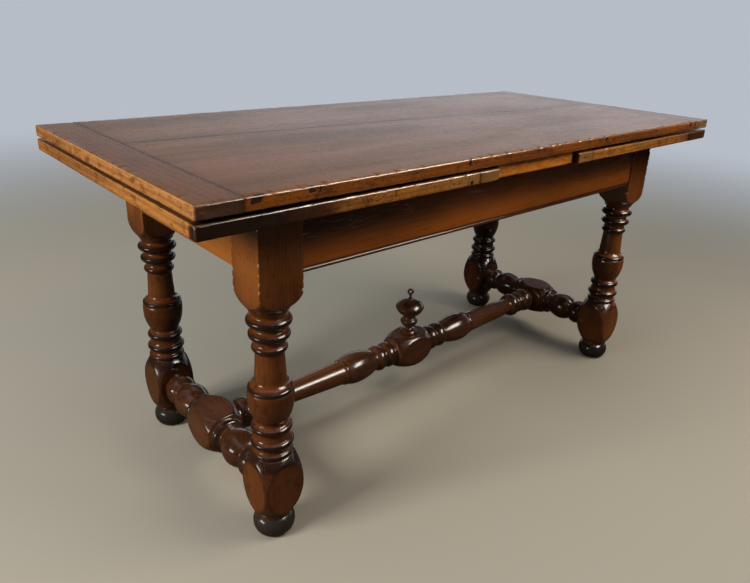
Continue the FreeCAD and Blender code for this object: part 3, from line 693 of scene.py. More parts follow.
def plain_finish(name, axis, deep, pale, roughness):
    """Grained wood with a soft blotch, darker where age is below 0, which on a long apron is a painted
    shade under the leaves and a darker bead, and with dirt in its seams.
    """
    finish = Finish(name)
    grain = Grain(finish, axis, PLAIN_RINGS)
    seam = finish.painted("seam")
    age = finish.painted("age")
    bead = finish.painted("bead")
    wood = grain.colour(finish, deep, pale)
    wood = finish.mix(grain.patina.smooth(0.42, 0.72) * 0.55, wood, deep)
    # Below 0 this value is, on a long apron, a painted shade under the leaves and a darker bead.
    wood = finish.mix(age * -1.0, wood, scaled(deep, *SHADE_SHARES))
    # Dirt in the seams; in a long apron's groove it is partly a painted shade.
    wood = finish.mix(seam * 0.9, wood, DIRT_AND_SHADE)
    rough = grain.fibre * 0.14 + grain.patina * 0.1 + (roughness - 0.12) - bead * 0.12
    return finish.finish(wood, rough, grain.height() * (1 - bead * 0.8), PLAIN_BUMP, PLAIN_WOOD)


def iron_finish(name, deep, pale, roughness):
    """Old iron: blotched between two colours, and rougher where it is paler."""
    finish = Finish(name)
    blotch = finish.noise(finish.place(), IRON_CELLS, 4.0)
    colour = finish.mix(blotch.smooth(0.35, 0.65), deep, pale)
    return finish.finish(colour, blotch * 0.25 + roughness, blotch, PLAIN_BUMP, OLD_IRON)


FINISH["apron"] = plain_finish("apron_walnut", "x", *APRON_GOLD, roughness=0.28)
FINISH["end_apron"] = plain_finish("end_apron_walnut", "y", *END_APRON_GOLD, roughness=0.32)
FINISH["bearer"] = plain_finish("bearer_oak", "x", *GREY_OAK, roughness=0.55)
FINISH["rail"] = plain_finish("rail_oak", "y", *GREY_OAK, roughness=0.55)
FINISH["peg"] = plain_finish("peg_oak", "z", *PEG_OAK, roughness=0.5)
FINISH["screw"] = iron_finish("screw_iron", *SCREW_IRON, roughness=0.3)
FINISH["eye"] = iron_finish("eye_iron", *EYE_IRON, roughness=0.28)
print("finishes in all", len(FINISH))

# %% [markdown]
# ## From an array to a piece
# Every new piece is a closed tube: rows of points along its length, each a ring, and a fan at each end. The
# faces follow from index arithmetic, so a whole board is one array and one call. The sign of the volume
# tells whether the faces point outwards, and the piece then takes the body of the solid it stands for.

# %% Turn arrays into pieces
LOT_COUNT = 97


def tube_faces(rows, ring):
    """Quads join each row to the next; a fan joins the first and the last row to a middle point."""
    row, column = np.meshgrid(np.arange(rows - 1), np.arange(ring), indexing="ij")
    here = (row * ring + column).ravel()
    beside = (row * ring + (column + 1) % ring).ravel()
    quads = np.stack([here, beside, beside + ring, here + ring], axis=1)
    step = np.arange(ring)
    after = (step + 1) % ring
    last = (rows - 1) * ring
    first_fan = np.stack([after, step, np.full(ring, rows * ring)], axis=1)
    last_fan = np.stack([last + step, last + after, np.full(ring, rows * ring + 1)], axis=1)
    return quads, np.concatenate([first_fan, last_fan])


def signed_volume(points, triangles):
    """Sum over the triangles of a . (b x c), over six: above 0 where the faces point outwards."""
    first, second, third = (points[triangles[:, corner]] for corner in range(3))
    return np.einsum("ij,ij->", first, np.cross(second, third)) / 6


def make_piece(manner, node, finish, seed, surface, values):
    """A piece that stands for a node: an array of rows x ring x 3 points, and the values they carry."""
    rows, ring = surface.shape[:2]
    points = np.concatenate([surface.reshape(-1, 3), surface[[0, -1]].mean(axis=1)])
    quads, fans = tube_faces(rows, ring)
    if signed_volume(points, np.concatenate([quads[:, :3], quads[:, [0, 2, 3]], fans])) < 0:
        quads, fans = quads[:, ::-1], fans[:, ::-1]
    name = manner + "_" + node
    mesh = bpy.data.meshes.new(name)
    mesh.from_pydata(points.tolist(), [], quads.tolist() + fans.tolist())
    mesh.shade_smooth()
    lot = (seed % LOT_COUNT) / 10.0
    for key, value in {"lot": lot, **values}.items():
        grid = np.broadcast_to(value, (rows, ring))
        column = np.concatenate([grid.ravel(), grid[[0, -1]].mean(axis=1)])
        layer = mesh.attributes.new(key, "FLOAT", "POINT")
        layer.data.foreach_set("value", column.astype(np.float32))
    mesh.materials.append(finish)
    piece = new_object(name, mesh)
    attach(piece, frame["nodes"][node]["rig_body"])
    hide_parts(node)


print("faces of a tube of 3 rows of 4", [len(part) for part in tube_faces(3, 4)])

# %% Draw smooth noise
WAVE_COUNT = 7
WAVE_SPREAD = (0.6, 1.7)


def waves(along, across, size, seed):
    """Smooth noise from -1 to 1: seven sines of drawn heading, length near size, and phase, added up."""
    draw = np.random.default_rng(seed)
    heading = draw.uniform(0, 2 * np.pi, WAVE_COUNT)
    pitch = 2 * np.pi / size * draw.uniform(*WAVE_SPREAD, WAVE_COUNT)
    phase = draw.uniform(0, 2 * np.pi, WAVE_COUNT)
    along, across = np.broadcast_arrays(along, across)
    turns = along[..., None] * (pitch * np.cos(heading)) + across[..., None] * (pitch * np.sin(heading))
    return np.clip(np.sin(turns + phase).sum(axis=-1) / 4.0, -1, 1)


def wander(along, across, size, seed):
    """The same noise, from 0 to 1."""
    return 0.5 + 0.5 * waves(along, across, size, seed)


def ease(share):
    """A smooth step from 0 to 1: three times the square less twice the cube."""
    share = np.clip(share, 0, 1)
    return share * share * (3 - 2 * share)


def past(value, start, reach):
    """A smooth step from 0 at start to 1 a reach beyond it. A reach below 0 runs the other way."""
    return ease((value - start) / reach)


print("a quarter of the reach past the start", past(0.25, 0.0, 1.0))

# %% [markdown]
# ## Worn boards
# A board is a rectangle with rounded arrises, carried along its length. Its ends close in on a curve, so
# that a free end is rounded too. Wear is an inward depth at every point: a slow sway of the faces, a worn
# arris, and nicks that only bite close to it. A Bevel modifier gives an even, machined edge; depths from
# noise give the uneven one that long years of sleeves and chairs have left. All of it goes inwards, so
# the board stays inside its solid.

# %% Round a board's section and its ends
ARC_POINTS = 6
END_POINTS = 9
SUPPORT = 0.4 * MM
CAP_INSETS = np.array([5.2, 3.4, 2.0, 1.0, 0.4]) * MM


def rounded_section(radii, counts):
    """A rectangle with rounded corners, as six rows: share and offset in v, the same in w, and the normal.

    A corner's arc keeps the corner's share and adds its own offset; a straight run goes evenly from one
    arc to the next, with an extra point close to each arc so that the shading stays flat between them.
    """
    shares = np.array([(0, 0), (1, 0), (1, 1), (0, 1)], float)
    parts = []
    for corner in range(4):
        turn = np.radians(180 + 90 * corner + np.linspace(0, 90, ARC_POINTS))
        normal = np.stack([np.cos(turn), np.sin(turn)])
        inward = (1 - 2 * shares[corner])[:, None]
        offset = radii[corner] * (inward + normal)
        share = np.repeat(shares[corner][:, None], ARC_POINTS, axis=1)
        parts.append(np.stack([share[0], offset[0], share[1], offset[1], normal[0], normal[1]]))

        onward = (corner + 1) % 4
        heading = np.array([-normal[1, -1], normal[0, -1]])
        start = offset[:, -1] + heading * SUPPORT
        close = radii[onward] * (1 - 2 * shares[onward] + normal[:, -1]) - heading * SUPPORT
        step = np.linspace(0, 1, counts[corner])
        share = shares[corner][:, None] + (shares[onward] - shares[corner])[:, None] * step
        offset = start[:, None] + (close - start)[:, None] * step
        flat = np.repeat(normal[:, -1:], counts[corner], axis=1)
        parts.append(np.stack([share[0], offset[0], share[1], offset[1], flat[0], flat[1]]))
    return np.concatenate(parts, axis=1)


def rounding(distance, radius):
    """How far a quarter round has closed in at a distance from its end.

    It is the radius less the root of (radius squared less what is short of the radius, squared).
    """
    short = np.clip(radius - distance, 0, radius)
    return radius - np.sqrt(radius * radius - short * short)


def board_stations(ends, end_round, spacing):
    """Places along a board: close together on the round at each end, evenly spread between."""
    curve = 1 - np.cos(np.radians(np.linspace(0, 90, END_POINTS)))
    low = ends[0] + curve * end_round
    high = ends[1] - curve[::-1] * end_round
    count = max(4, int(round((high[0] - low[-1]) / spacing)))
    between = np.linspace(low[-1], high[0], count + 1)[1:-1]
    caps = np.ones(len(CAP_INSETS))
    return np.concatenate([ends[0] * caps, low, between, high, ends[1] * caps])


print("points of a section", rounded_section((MM, MM, MM, MM), (6, 8, 12, 8)).shape[1])

# %% Lay out a board's points
SEAM_ARRIS = 0.7 * MM
FREE_ARRIS = 3.2 * MM
FACE_STEP = 9 * MM
FACE_POINTS = (8, 46)
EDGE_POINTS = 8
UNDER_POINTS = 6
FAR = 1.0


def nearest(distances, chosen):
    """The smallest of the chosen distances; one that isn't chosen counts as a whole metre."""
    kept = [np.where(choice, distance, FAR) for distance, choice in zip(distances, chosen)]
    return np.minimum.reduce(kept)


def board_grid(ends, sides, heights, free, plan_round, spacing):
    """Points of an unworn board, their normals, and their distances to its arrises, seams and ends.

    Across the board and up it, a point lies at low + share x (high - low) + offset. At an open end the
    sides close in on a round in plan, and the top and the foot on an arris.
    """
    low_free, high_free, ends_free = free
    low_arris, high_arris, end_arris = (FREE_ARRIS if is_free else SEAM_ARRIS for is_free in free)
    end_round = plan_round if ends_free else SEAM_ARRIS
    u = board_stations(ends, end_round, spacing)
    inset = np.zeros(u.shape)
    inset[:len(CAP_INSETS)] = CAP_INSETS
    inset[-len(CAP_INSETS):] = CAP_INSETS[::-1]
    from_end = np.minimum(u - ends[0], ends[1] - u)
    share = (u - ends[0]) / (ends[1] - ends[0])
    low_side, high_side = (start + share * (stop - start) for start, stop in sides)
    close_in = rounding(from_end, end_round)
    v_low = low_side + close_in * low_free + inset
    v_high = high_side - close_in * high_free - inset
    w_low = heights[0] + rounding(from_end, end_arris) + inset
    w_high = heights[1] - rounding(from_end, end_arris) - inset

    across = int(np.clip((v_high.mean() - v_low.mean()) / FACE_STEP, *FACE_POINTS))
    counts = (max(UNDER_POINTS, across // 2), EDGE_POINTS, across, EDGE_POINTS)
    section = rounded_section((low_arris, high_arris, high_arris, low_arris), counts)
    share_v, offset_v, share_w, offset_w, normal_v, normal_w = section
    v = v_low[:, None] + share_v * (v_high - v_low)[:, None] + offset_v
    w = w_low[:, None] + share_w * (w_high - w_low)[:, None] + offset_w
    from_end = np.broadcast_to(from_end[:, None], v.shape)
    distances = (v - low_side[:, None], high_side[:, None] - v, from_end)
    return SimpleNamespace(
        u=np.broadcast_to(u[:, None], v.shape),
        v=v,
        w=w,
        normal_v=normal_v,
        normal_w=normal_w,
        open_side=np.where(normal_v < 0, low_free, high_free) * np.abs(normal_v),
        from_end=from_end,
        from_side=nearest(distances[:2], free[:2]),
        from_edge=nearest(distances, free),
        from_seam=nearest(distances, np.logical_not(free)),
        from_top=heights[1] - w,
        from_foot=w - heights[0],
        ends_free=ends_free,
        end_arris=end_arris,
    )


print("arrises in mm: free", FREE_ARRIS / MM, "at a seam", SEAM_ARRIS / MM)

# %% Wear a board
WEAR_REACH = 5.0 * MM
FOOT_WEAR = 0.6
ARRIS_DEPTH = 0.9 * MM
NICK_DEPTH = 3.4 * MM
SWAY_DEPTH = 0.10 * MM
BOW_DEPTH = 0.7 * MM
LARGE_NICK = (26 * MM, 0.42)
SMALL_NICK = (9 * MM, 0.62)
WORN_LENGTH = 190 * MM
SWAY_LENGTH = 110 * MM
SWAY_STRETCH = 0.35
BOW_LENGTH = 330 * MM


def nicks(board, kind, seed):
    """Bites out of an arris: what smooth noise of a size has above a level."""
    size, level = kind
    return np.clip(waves(board.u, board.v, size, seed) - level, 0, 1)


def board_wear(board, seed):
    """How far each point is worn inwards.

    Close to a free arris, which is exp(-distance / reach), it is the arris's wear and its nicks. A slight
    sway of the top and the foot and a bow of the open sides are added.
    """
    near_top = np.exp(-np.hypot(board.from_edge, board.from_top) / WEAR_REACH)
    near_foot = np.exp(-np.hypot(board.from_edge, board.from_foot) / WEAR_REACH)
    bites = nicks(board, LARGE_NICK, seed) + nicks(board, SMALL_NICK, seed + 1)
    worn = wander(board.u, board.v, WORN_LENGTH, seed + 2)
    sway = wander(SWAY_STRETCH * board.u, board.v, SWAY_LENGTH, seed + 3)
    bow = wander(board.u, 0 * board.v, BOW_LENGTH, seed + 4)
    depth = (near_top + FOOT_WEAR * near_foot) * (ARRIS_DEPTH * worn + NICK_DEPTH * bites)
    return depth + SWAY_DEPTH * sway * np.abs(board.normal_w) + BOW_DEPTH * bow * board.open_side


print("lengths of the nicks in mm", LARGE_NICK[0] / MM, SMALL_NICK[0] / MM)

# %% Say what a board's points carry
RUB_REACH = 4.0 * MM
# The vertical corners of an open end are rubbed pale too: partly wear, partly a painted highlight.
CORNER_RUB_AND_HIGHLIGHT = 1.5
SEAM_REACH = 1.3 * MM
BAND_REACH = 18 * MM
BAND_GRIME = 0.34
TUCKED_REACH = 12 * MM
FACING_UP = 0.8
SIDE_GAIN = 1.25


def board_values(board, tucked):
    """What a board's points carry: each value fades with the distance, as exp(-distance / reach).

    tucked: how much dirt lies along the edges of the upper face, where another board covers it.
    """
    end = ease(1 - board.from_end / board.end_arris) * board.ends_free
    hidden = tucked * np.exp(-board.from_edge / TUCKED_REACH) * (board.normal_w > FACING_UP) * (1 - end)
    band = BAND_GRIME * np.exp(-board.from_seam / BAND_REACH)
    from_arris = np.hypot(board.from_edge, board.from_top)
    # At an open end the pale rub also runs up the corners, partly as a painted highlight.
    if board.ends_free:
        from_arris = np.minimum(from_arris, CORNER_RUB_AND_HIGHLIGHT * np.hypot(board.from_side, board.from_end))
    return {
        "side": ease(board.open_side * SIDE_GAIN),
        "rub": np.exp(-from_arris / RUB_REACH),
        "seam": np.exp(-board.from_seam / SEAM_REACH),
        "end": end,
        "grime": np.maximum(hidden, band),
    }


def worn_board(node, finish, axis, reach, free, seed, spacing, plan_round=0.0, age=None, tucked=0.0):
    """A rounded rectangle carried along an axis, and worn inwards.

    reach: the board's two ends, its two long sides, each given at both ends so that a seam may slant, and
    its heights. free: whether the low side, the high side and the two ends are open edges. age:
    a function of the place in millimetres.
    """
    board = board_grid(*reach, free, plan_round, spacing)
    depth = board_wear(board, seed)
    v = board.v - board.normal_v * depth
    w = board.w - board.normal_w * depth
    surface = np.stack([board.u, v, w] if axis == "x" else [v, board.u, w], axis=-1)
    values = board_values(board, tucked)
    values["age"] = 0.0 if age is None else age(surface / MM)
    make_piece("worn", node, finish, seed, surface, values)
    print("worn", node, "points", v.size, "deepest nick in mm", round(depth.max() / MM, 1))


print("reach of a rubbed arris in mm", RUB_REACH / MM)

# %% [markdown]
# ## The loose top
# Two long boards lie between a cross board, or clamp, at each end. The seam between them slants, as the
# tree did. The clamps hide the end grain and keep the boards flat. All four could be one slab with painted
# lines, but real seams catch the light and the dirt, so each board is its own surface.

# %% Lay the top
PLAN_ROUND = 6 * MM
TOP_SPACING = 4 * MM
BACK_SPACING = 7 * MM


def parallel(low, high):
    """Two long sides that don't slant, each given at both ends."""
    return (low, low), (high, high)


def cross_reach(box):
    """The reach of a board that lies across the table and fills its box."""
    low, high = box
    return (low.y, high.y), parallel(low.x, high.x), (low.z, high.z)


left_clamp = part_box("top_clamp_left")
right_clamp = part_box("top_clamp_right")
front_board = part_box("top_board_front")
back_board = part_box("top_board_back")
top_heights = (left_clamp[0].z, left_clamp[1].z)
top_ends = (left_clamp[1].x, right_clamp[0].x)
top_seam = (front_board[1].y, back_board[0].y)
front_edge = (front_board[0].y, front_board[0].y)
back_edge = (back_board[1].y, back_board[1].y)
front_reach = (top_ends, (front_edge, top_seam), top_heights)
back_reach = (top_ends, (top_seam, back_edge), top_heights)
TOP_CLAMPS = {
    "left": (left_clamp, (True, False, True), 37),
    "right": (right_clamp, (False, True, True), 41),
}

worn_board(
    "top_board_front", FINISH["top_board"], "x", front_reach,
    free=(True, False, False), seed=11, spacing=TOP_SPACING,
)
worn_board(
    "top_board_back", FINISH["top_board"], "x", back_reach,
    free=(False, True, False), seed=23, spacing=BACK_SPACING,
)
for side, (box, free, seed) in TOP_CLAMPS.items():
    node = "top_clamp_" + side
    worn_board(node, FINISH[node], "y", cross_reach(box), free, seed, TOP_SPACING, PLAN_ROUND)

# %% [markdown]
# ## The leaves
# Each leaf is a smaller panel of the same make. Its front edge has aged unevenly: the near left corner is
# almost black, the middle is golden, and the inner clamps are bleached and grey. These are stains of the
# wood and not light, so they are worked out from the place of each point and carried as age. Each stain
# is given by where it starts and how far it takes to come in full, in millimetres.

# %% Say how the leaves have aged
BOARD_FRONT = (-345, -20)
CLAMP_FRONT = (-330, -30)
LEFT_GOLD = (-715, 250)
LEFT_PALE = (-450, 160)
LEFT_PALEST = (-310, 45)
RIGHT_GOLD = (200, 120)
RIGHT_DARK = (560, 200)
RIGHT_SEAM = (145, -2.5)


def left_leaf_age(place):
    """The left leaf's front edge: dark at its outer end, golden in the middle, palest at its inner end."""
    x, y, _ = np.moveaxis(place, -1, 0)
    dark = 1 - past(x, *LEFT_GOLD)
    pale = 0.35 * past(x, *LEFT_PALE) + 0.40 * past(x, *LEFT_PALEST)
    return past(y, *BOARD_FRONT) * (pale - 0.95 * dark)


def left_inner_age(place):
    """The left leaf's inner clamp: grey and pale on its front end."""
    return 0.75 * past(place[..., 1], *CLAMP_FRONT)


def right_leaf_age(place):
    """The right leaf's front edge: pale at its inner end, then golden, and dark at its outer end."""
    x, y, _ = np.moveaxis(place, -1, 0)
    pale = 0.25 * (1 - past(x, *RIGHT_GOLD))
    return past(y, *BOARD_FRONT) * (pale - 0.45 * past(x, *RIGHT_DARK))


def right_inner_age(place):
    """The right leaf's inner clamp: bleached on its front end, dark where it meets the centre board."""
    x, y, _ = np.moveaxis(place, -1, 0)
    return 0.95 * past(y, *CLAMP_FRONT) - 1.5 * past(x, *RIGHT_SEAM)


LEAF_AGE = {"left": (left_leaf_age, left_inner_age), "right": (right_leaf_age, right_inner_age)}
print("age of the left leaf's near corner", left_leaf_age(np.array([-800.0, -371.0, 710.0])))

# %% Lay the leaves
LEAF_SPACING = 5 * MM
LEAF_TUCKED = 0.8
LEAF_SEEDS = {"left": 53, "right": 71}
CLAMP_SEED_STEP = 10

for side, seed in LEAF_SEEDS.items():
    leaf = side + "_leaf_"
    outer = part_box(leaf + "outer_clamp")
    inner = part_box(leaf + "inner_clamp")
    low_clamp, high_clamp = (outer, inner) if side == "left" else (inner, outer)
    leaf_heights = (outer[0].z, outer[1].z)
    leaf_ends = (low_clamp[1].x, high_clamp[0].x)
    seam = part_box(leaf + "board_front")[1].y
    edges = {"front": (outer[0].y, seam), "back": (seam, outer[1].y)}
    board_age, inner_age = LEAF_AGE[side]
    clamps = {"outer": (outer, board_age, PLAN_ROUND), "inner": (inner, inner_age, FREE_ARRIS)}
    for index, (part, edge) in enumerate(edges.items()):
        worn_board(
            leaf + "board_" + part, FINISH["leaf_board"], "x",
            (leaf_ends, parallel(*edge), leaf_heights), (part == "front", part == "back", False),
            seed + index, LEAF_SPACING, age=board_age, tucked=LEAF_TUCKED,
        )
    for part, (box, age, plan_round) in clamps.items():
        open_low = (part == "outer") == (side == "left")
        worn_board(
            leaf + part + "_clamp", FINISH["leaf_clamp"], "y",
            cross_reach(box), (open_low, not open_low, True),
            seed + CLAMP_SEED_STEP, LEAF_SPACING, plan_round, age, LEAF_TUCKED,
        )

# %% [markdown]
# ## The centre board
# A fixed board fills the gap between the leaves, and shows on the long side as a golden strip under the
# top, with its ends painted lighter against the shade that the top casts on them. It could keep its packed
# solid, but its ends show, so it is a worn board like the rest, open at its two sides and its two ends, and
# grimy next to both leaves.

# %% Lay the centre board
CENTRE_GRIME = 1.2
CENTRE_GRIME_REACH = 3.0
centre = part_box("centre_board")


def centre_age(place):
    """Dark within a few millimetres of the two sides: -grime x exp(-distance / reach)."""
    from_side = centre[1].x / MM - np.abs(place[..., 0])
    return -CENTRE_GRIME * np.exp(-from_side / CENTRE_GRIME_REACH)


worn_board(
    "centre_board", FINISH["centre_board"], "y", cross_reach(centre),
    free=(True, True, True), seed=89, spacing=LEAF_SPACING, plan_round=PLAN_ROUND, age=centre_age,
)

# %% [markdown]
# ## The long aprons
# A long apron is a plank with a bead along its lower edge, set off by a narrow groove that holds dirt and
# a painted shade. The bead is a half round in the section, so one outline carried from leg to leg makes the
# whole moulding. Under the leaves the plank carries a painted shade, most of all at its left end.

# %% Draw the apron's section
APRON_BEAD = 7 * MM
APRON_QUIRK = 2 * MM
BEAD_POINTS = 14


def straight(start, end, count):
    """Points from start to end, with one extra close to each."""
    start, end = np.array(start), np.array(end)
    close = SUPPORT / np.linalg.norm(end - start)
    between = np.linspace(0, 1, count + 2)[1:-1]
    share = np.concatenate([[0, close], between, [1 - close]])
    return start + share[:, None] * (end - start)


def apron_section(face, back, low, high):
    """The apron's outline in y and z: plank, groove, and a bead that is an arc through three points.

    An arc that stands out by a quirk over half a bead has the radius
    (half squared + quirk squared) / (2 x quirk).
    """
    inward = np.sign(back - face)
    sunk = face + inward * APRON_QUIRK
    half = APRON_BEAD / 2
    radius = (half * half + APRON_QUIRK * APRON_QUIRK) / (2 * APRON_QUIRK)
    reach = math.asin(half / radius)
    turn = np.linspace(-reach, reach, BEAD_POINTS)[1:-1]
    bead_y = face + inward * (radius - radius * np.cos(turn))
    bead_z = low + half - radius * np.sin(turn)
    groove = low + APRON_BEAD + APRON_QUIRK
    parts = [
        straight((sunk, low), (back, low), 3),
        straight((back, low), (back, high), 8),
        straight((back, high), (face, high), 3),
        straight((face, high), (face, groove), 26),
        straight((face, groove), (sunk, groove), 1),
        straight((sunk, groove), (sunk, low + APRON_BEAD), 1),
        np.array([[sunk, low + APRON_BEAD]]),
        np.stack([bead_y, bead_z], axis=1),
    ]
    return np.concatenate(parts)


print("bead and quirk in mm", APRON_BEAD / MM, APRON_QUIRK / MM)

# %% Run the moulded aprons
APRON_HOLD = 3 * MM
APRON_ROWS = 160
APRON_SWAY = 0.9 * MM
APRON_SWAY_LENGTH = 240 * MM
FACE_REACH = 3 * MM
# The groove's dark line, partly dirt and partly a painted shade, reaches a little above and below it.
GROOVE_DIRT_AND_SHADE = (3.24 * MM, -1.8 * MM)
GROOVE_REACH = 6 * MM
BEAD_EDGE = 2 * MM
# How much darker the bead is painted.
BEAD_DARKENING = 0.75
# A painted shade under the leaves: how far down it reaches, how softly it ends, and how dark it is.
SHADE_DEPTH = 95 * MM
SHADE_LEFT_DEPTH = 25 * MM
SHADE_BLUR = 80 * MM
SHADE = 0.40
SHADE_LEFT = 0.52
SHADE_RIGHT = 0.25
LEFT_HALF = (0.5, -0.5)
RIGHT_END = (0.6, 0.4)


def moulded_apron(node, outward, seed):
    """A section carried along x, swaying inwards by up to a millimetre.

    Dirt and a painted shade lie in the groove, and the bead is painted darker. A painted shade under the
    leaves rises smoothly towards the upper edge, and is stronger and reaches further down at the left end
    than at the right one.
    """
    low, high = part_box(node)
    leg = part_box("leg_front_left")
    ends = (leg[1].x - APRON_HOLD, -leg[1].x + APRON_HOLD)
    face, back = (low.y, high.y) if outward < 0 else (high.y, low.y)
    section = apron_section(face, back, low.z, high.z)
    x = np.linspace(*ends, APRON_ROWS)[:, None]
    y = np.broadcast_to(section[:, 0], (APRON_ROWS, len(section)))
    z = np.broadcast_to(section[:, 1], y.shape)
    on_face = np.exp(-np.abs(y - face) / FACE_REACH)
    y = y - outward * on_face * APRON_SWAY * wander(x, z, APRON_SWAY_LENGTH, seed)
    surface = np.stack([np.broadcast_to(x, y.shape), y, z], axis=-1)

    groove = low.z + APRON_BEAD + APRON_QUIRK / 2
    # Dirt and a painted shade along the groove.
    in_groove = past(np.abs(z - groove), *GROOVE_DIRT_AND_SHADE) * np.exp(-np.abs(y - face) / GROOVE_REACH)
    on_bead = past(z, groove, -BEAD_EDGE)
    share = (x - ends[0]) / (ends[1] - ends[0])
    near_left = past(share, *LEFT_HALF)
    near_right = past(share, *RIGHT_END)
    shade_foot = high.z - SHADE_DEPTH - SHADE_LEFT_DEPTH * near_left
    shade = SHADE + SHADE_LEFT * near_left + SHADE_RIGHT * near_right
    values = {
        "seam": in_groove,
        "bead": on_bead,
        # Below 0: the painted shade under the leaves, and the darker bead.
        "age": -shade * past(z, shade_foot, SHADE_BLUR) - BEAD_DARKENING * on_bead,
    }
    make_piece("moulded", node, FINISH["apron"], seed, surface, values)
    print("moulded", node, "section points", len(section))


moulded_apron("apron_front", outward=-1, seed=97)
moulded_apron("apron_back", outward=1, seed=103)

# %% [markdown]
# ## Turned outlines
# A turner cuts beads and coves, and each is an arc of a circle. So an outline is a short list of rows: how
# far up, the radius half way there, and the radius there, where no middle radius means a straight cut. A
# spline through points would round off the crisp quirks between the rings.

# %% Trace a turned outline
OUTLINE_STEP = 2.0 * MM
OUTLINE_POINTS = (2, 60)
LEAST_ARC_POINTS = 10
CREST_STEP = 0.5 * MM
CREST_REACH = 13 * MM
CREST_HEIGHT = 4 * MM


def circle_through(first, middle, last):
    """Middle height, middle radius and radius of the circle through three (height, radius) points."""
    (a, b), (c, d), (e, f) = first, middle, last
    scale = 2 * (a * (d - f) + c * (f - b) + e * (b - d))
    one, two, three = a * a + b * b, c * c + d * d, e * e + f * f
    height = (one * (d - f) + two * (f - b) + three * (b - d)) / scale
    reach = (one * (e - c) + two * (a - e) + three * (c - a)) / scale
    return height, reach, math.hypot(a - height, b - reach)


def turned_outline(start, rows):
    """Heights and radii in metres along rows given in millimetres, crowded at both ends of every arc.

    On an arc the radius is the circle's middle radius, more or less the root of (its own radius squared
    less the height above its middle, squared).
    """
    here = start
    heights, radii = [], []
    for height, middle, radius in rows:
        there = (height, radius)
        length = math.hypot(height - here[0], radius - here[1]) * MM
        count = int(np.clip(math.ceil(length / OUTLINE_STEP), *OUTLINE_POINTS))
        if middle is None:
            up = here[0] + (height - here[0]) * np.linspace(0, 1, count, endpoint=False)
            out = np.interp(up, (here[0], height), (here[1], radius))
        else:
            count = max(LEAST_ARC_POINTS, count)
            share = 0.5 - 0.5 * np.cos(np.pi * np.linspace(0, 1, count, endpoint=False))
            up = here[0] + (height - here[0]) * share
            across, reach, bend = circle_through(here, ((here[0] + height) / 2, middle), there)
            bulge = np.sqrt(np.clip(bend * bend - (up - across) ** 2, 0, None))
            out = reach + np.sign(middle - reach) * bulge
        heights.append(up)
        radii.append(out)
        here = there
    heights.append([here[0]])
    radii.append([here[1]])
    return np.concatenate(heights) * MM, np.concatenate(radii) * MM


def crest_of(heights, radii):
    """How far each radius stands above the mean of its neighbourhood, over 4 mm, from -1 to 1."""
    even = np.arange(heights.min(), heights.max(), CREST_STEP)
    level = np.interp(even, heights, radii)
    width = int(CREST_REACH / CREST_STEP)
    padded = np.pad(level, width, mode="edge")
    span = 2 * width + 1
    mean = np.convolve(padded, np.full(span, 1 / span), mode="valid")
    return np.clip((radii - np.interp(heights, even, mean)) / CREST_HEIGHT, -1, 1)


print("a bead of 10 mm traced at", len(turned_outline((0, 5), [(10, 8, 5)])[0]), "points")

# %% [markdown]
# ## Turned pieces
# Legs and stretchers are square stock turned down to round between square blocks. The block's shoulders are
# round because the stock spins as it is cut. At each angle the surface is therefore the smaller of two
# reaches: the turned radius, and the flat of the square stock. A boolean cut would leave ragged triangles
# there, while the smaller of two smooth values, slightly blended, gives a clean worn edge.

# %% Blend the turning with the square stock
BLEND = 0.5 * MM


def folded(turn):
    """Angles folded into one eighth of a turn: 0 in the middle of a flat, an eighth at its corners."""
    return np.abs((turn + np.pi / 4) % (np.pi / 2) - np.pi / 4)


def square_reach(turn, half, corner):
    """Distance from the middle to a square with rounded corners, at each angle.

    Folded into one eighth, it is half / cos on the flat, and on the corner where the ray meets its circle.
    """
    angle = folded(turn)
    flat = half / np.cos(angle)
    middle = half - corner
    along = middle * (np.cos(angle) + np.sin(angle))
    arc = along + np.sqrt(np.clip(along * along - 2 * middle * middle + corner * corner, 0, None))
    return np.where(np.tan(angle) > middle / half, np.minimum(arc, flat), flat)


def smaller(first, second):
    """The smaller of two values, rounded off where they are close: -blend x log(exp(-a) + exp(-b))."""
    return -BLEND * np.logaddexp(-first / BLEND, -second / BLEND)


print("smaller of 40 and 40 mm", round(smaller(40 * MM, 40 * MM) / MM, 2))

# %% Shape a turned piece
RING_POINTS = 128
CORNER_CROWDING = 0.19
CORNER_WEAR = 2.2 * MM
CORNER_LEAST = 0.7
CORNER_NICK = 3.2
NICK_LENGTH = 15 * MM
NICK_GIRTH = 9 * MM
NICK_LEVEL = 0.1
FLAT_EDGE = 4 * MM
RUB_ANGLE = 0.045
TURNED_SWAY = 0.25 * MM
TURNED_SWAY_LENGTH = 60 * MM
TURNED_SWAY_GIRTH = 30 * MM
AXIS_ROLL = {"z": 0, "x": 1, "y": 2}


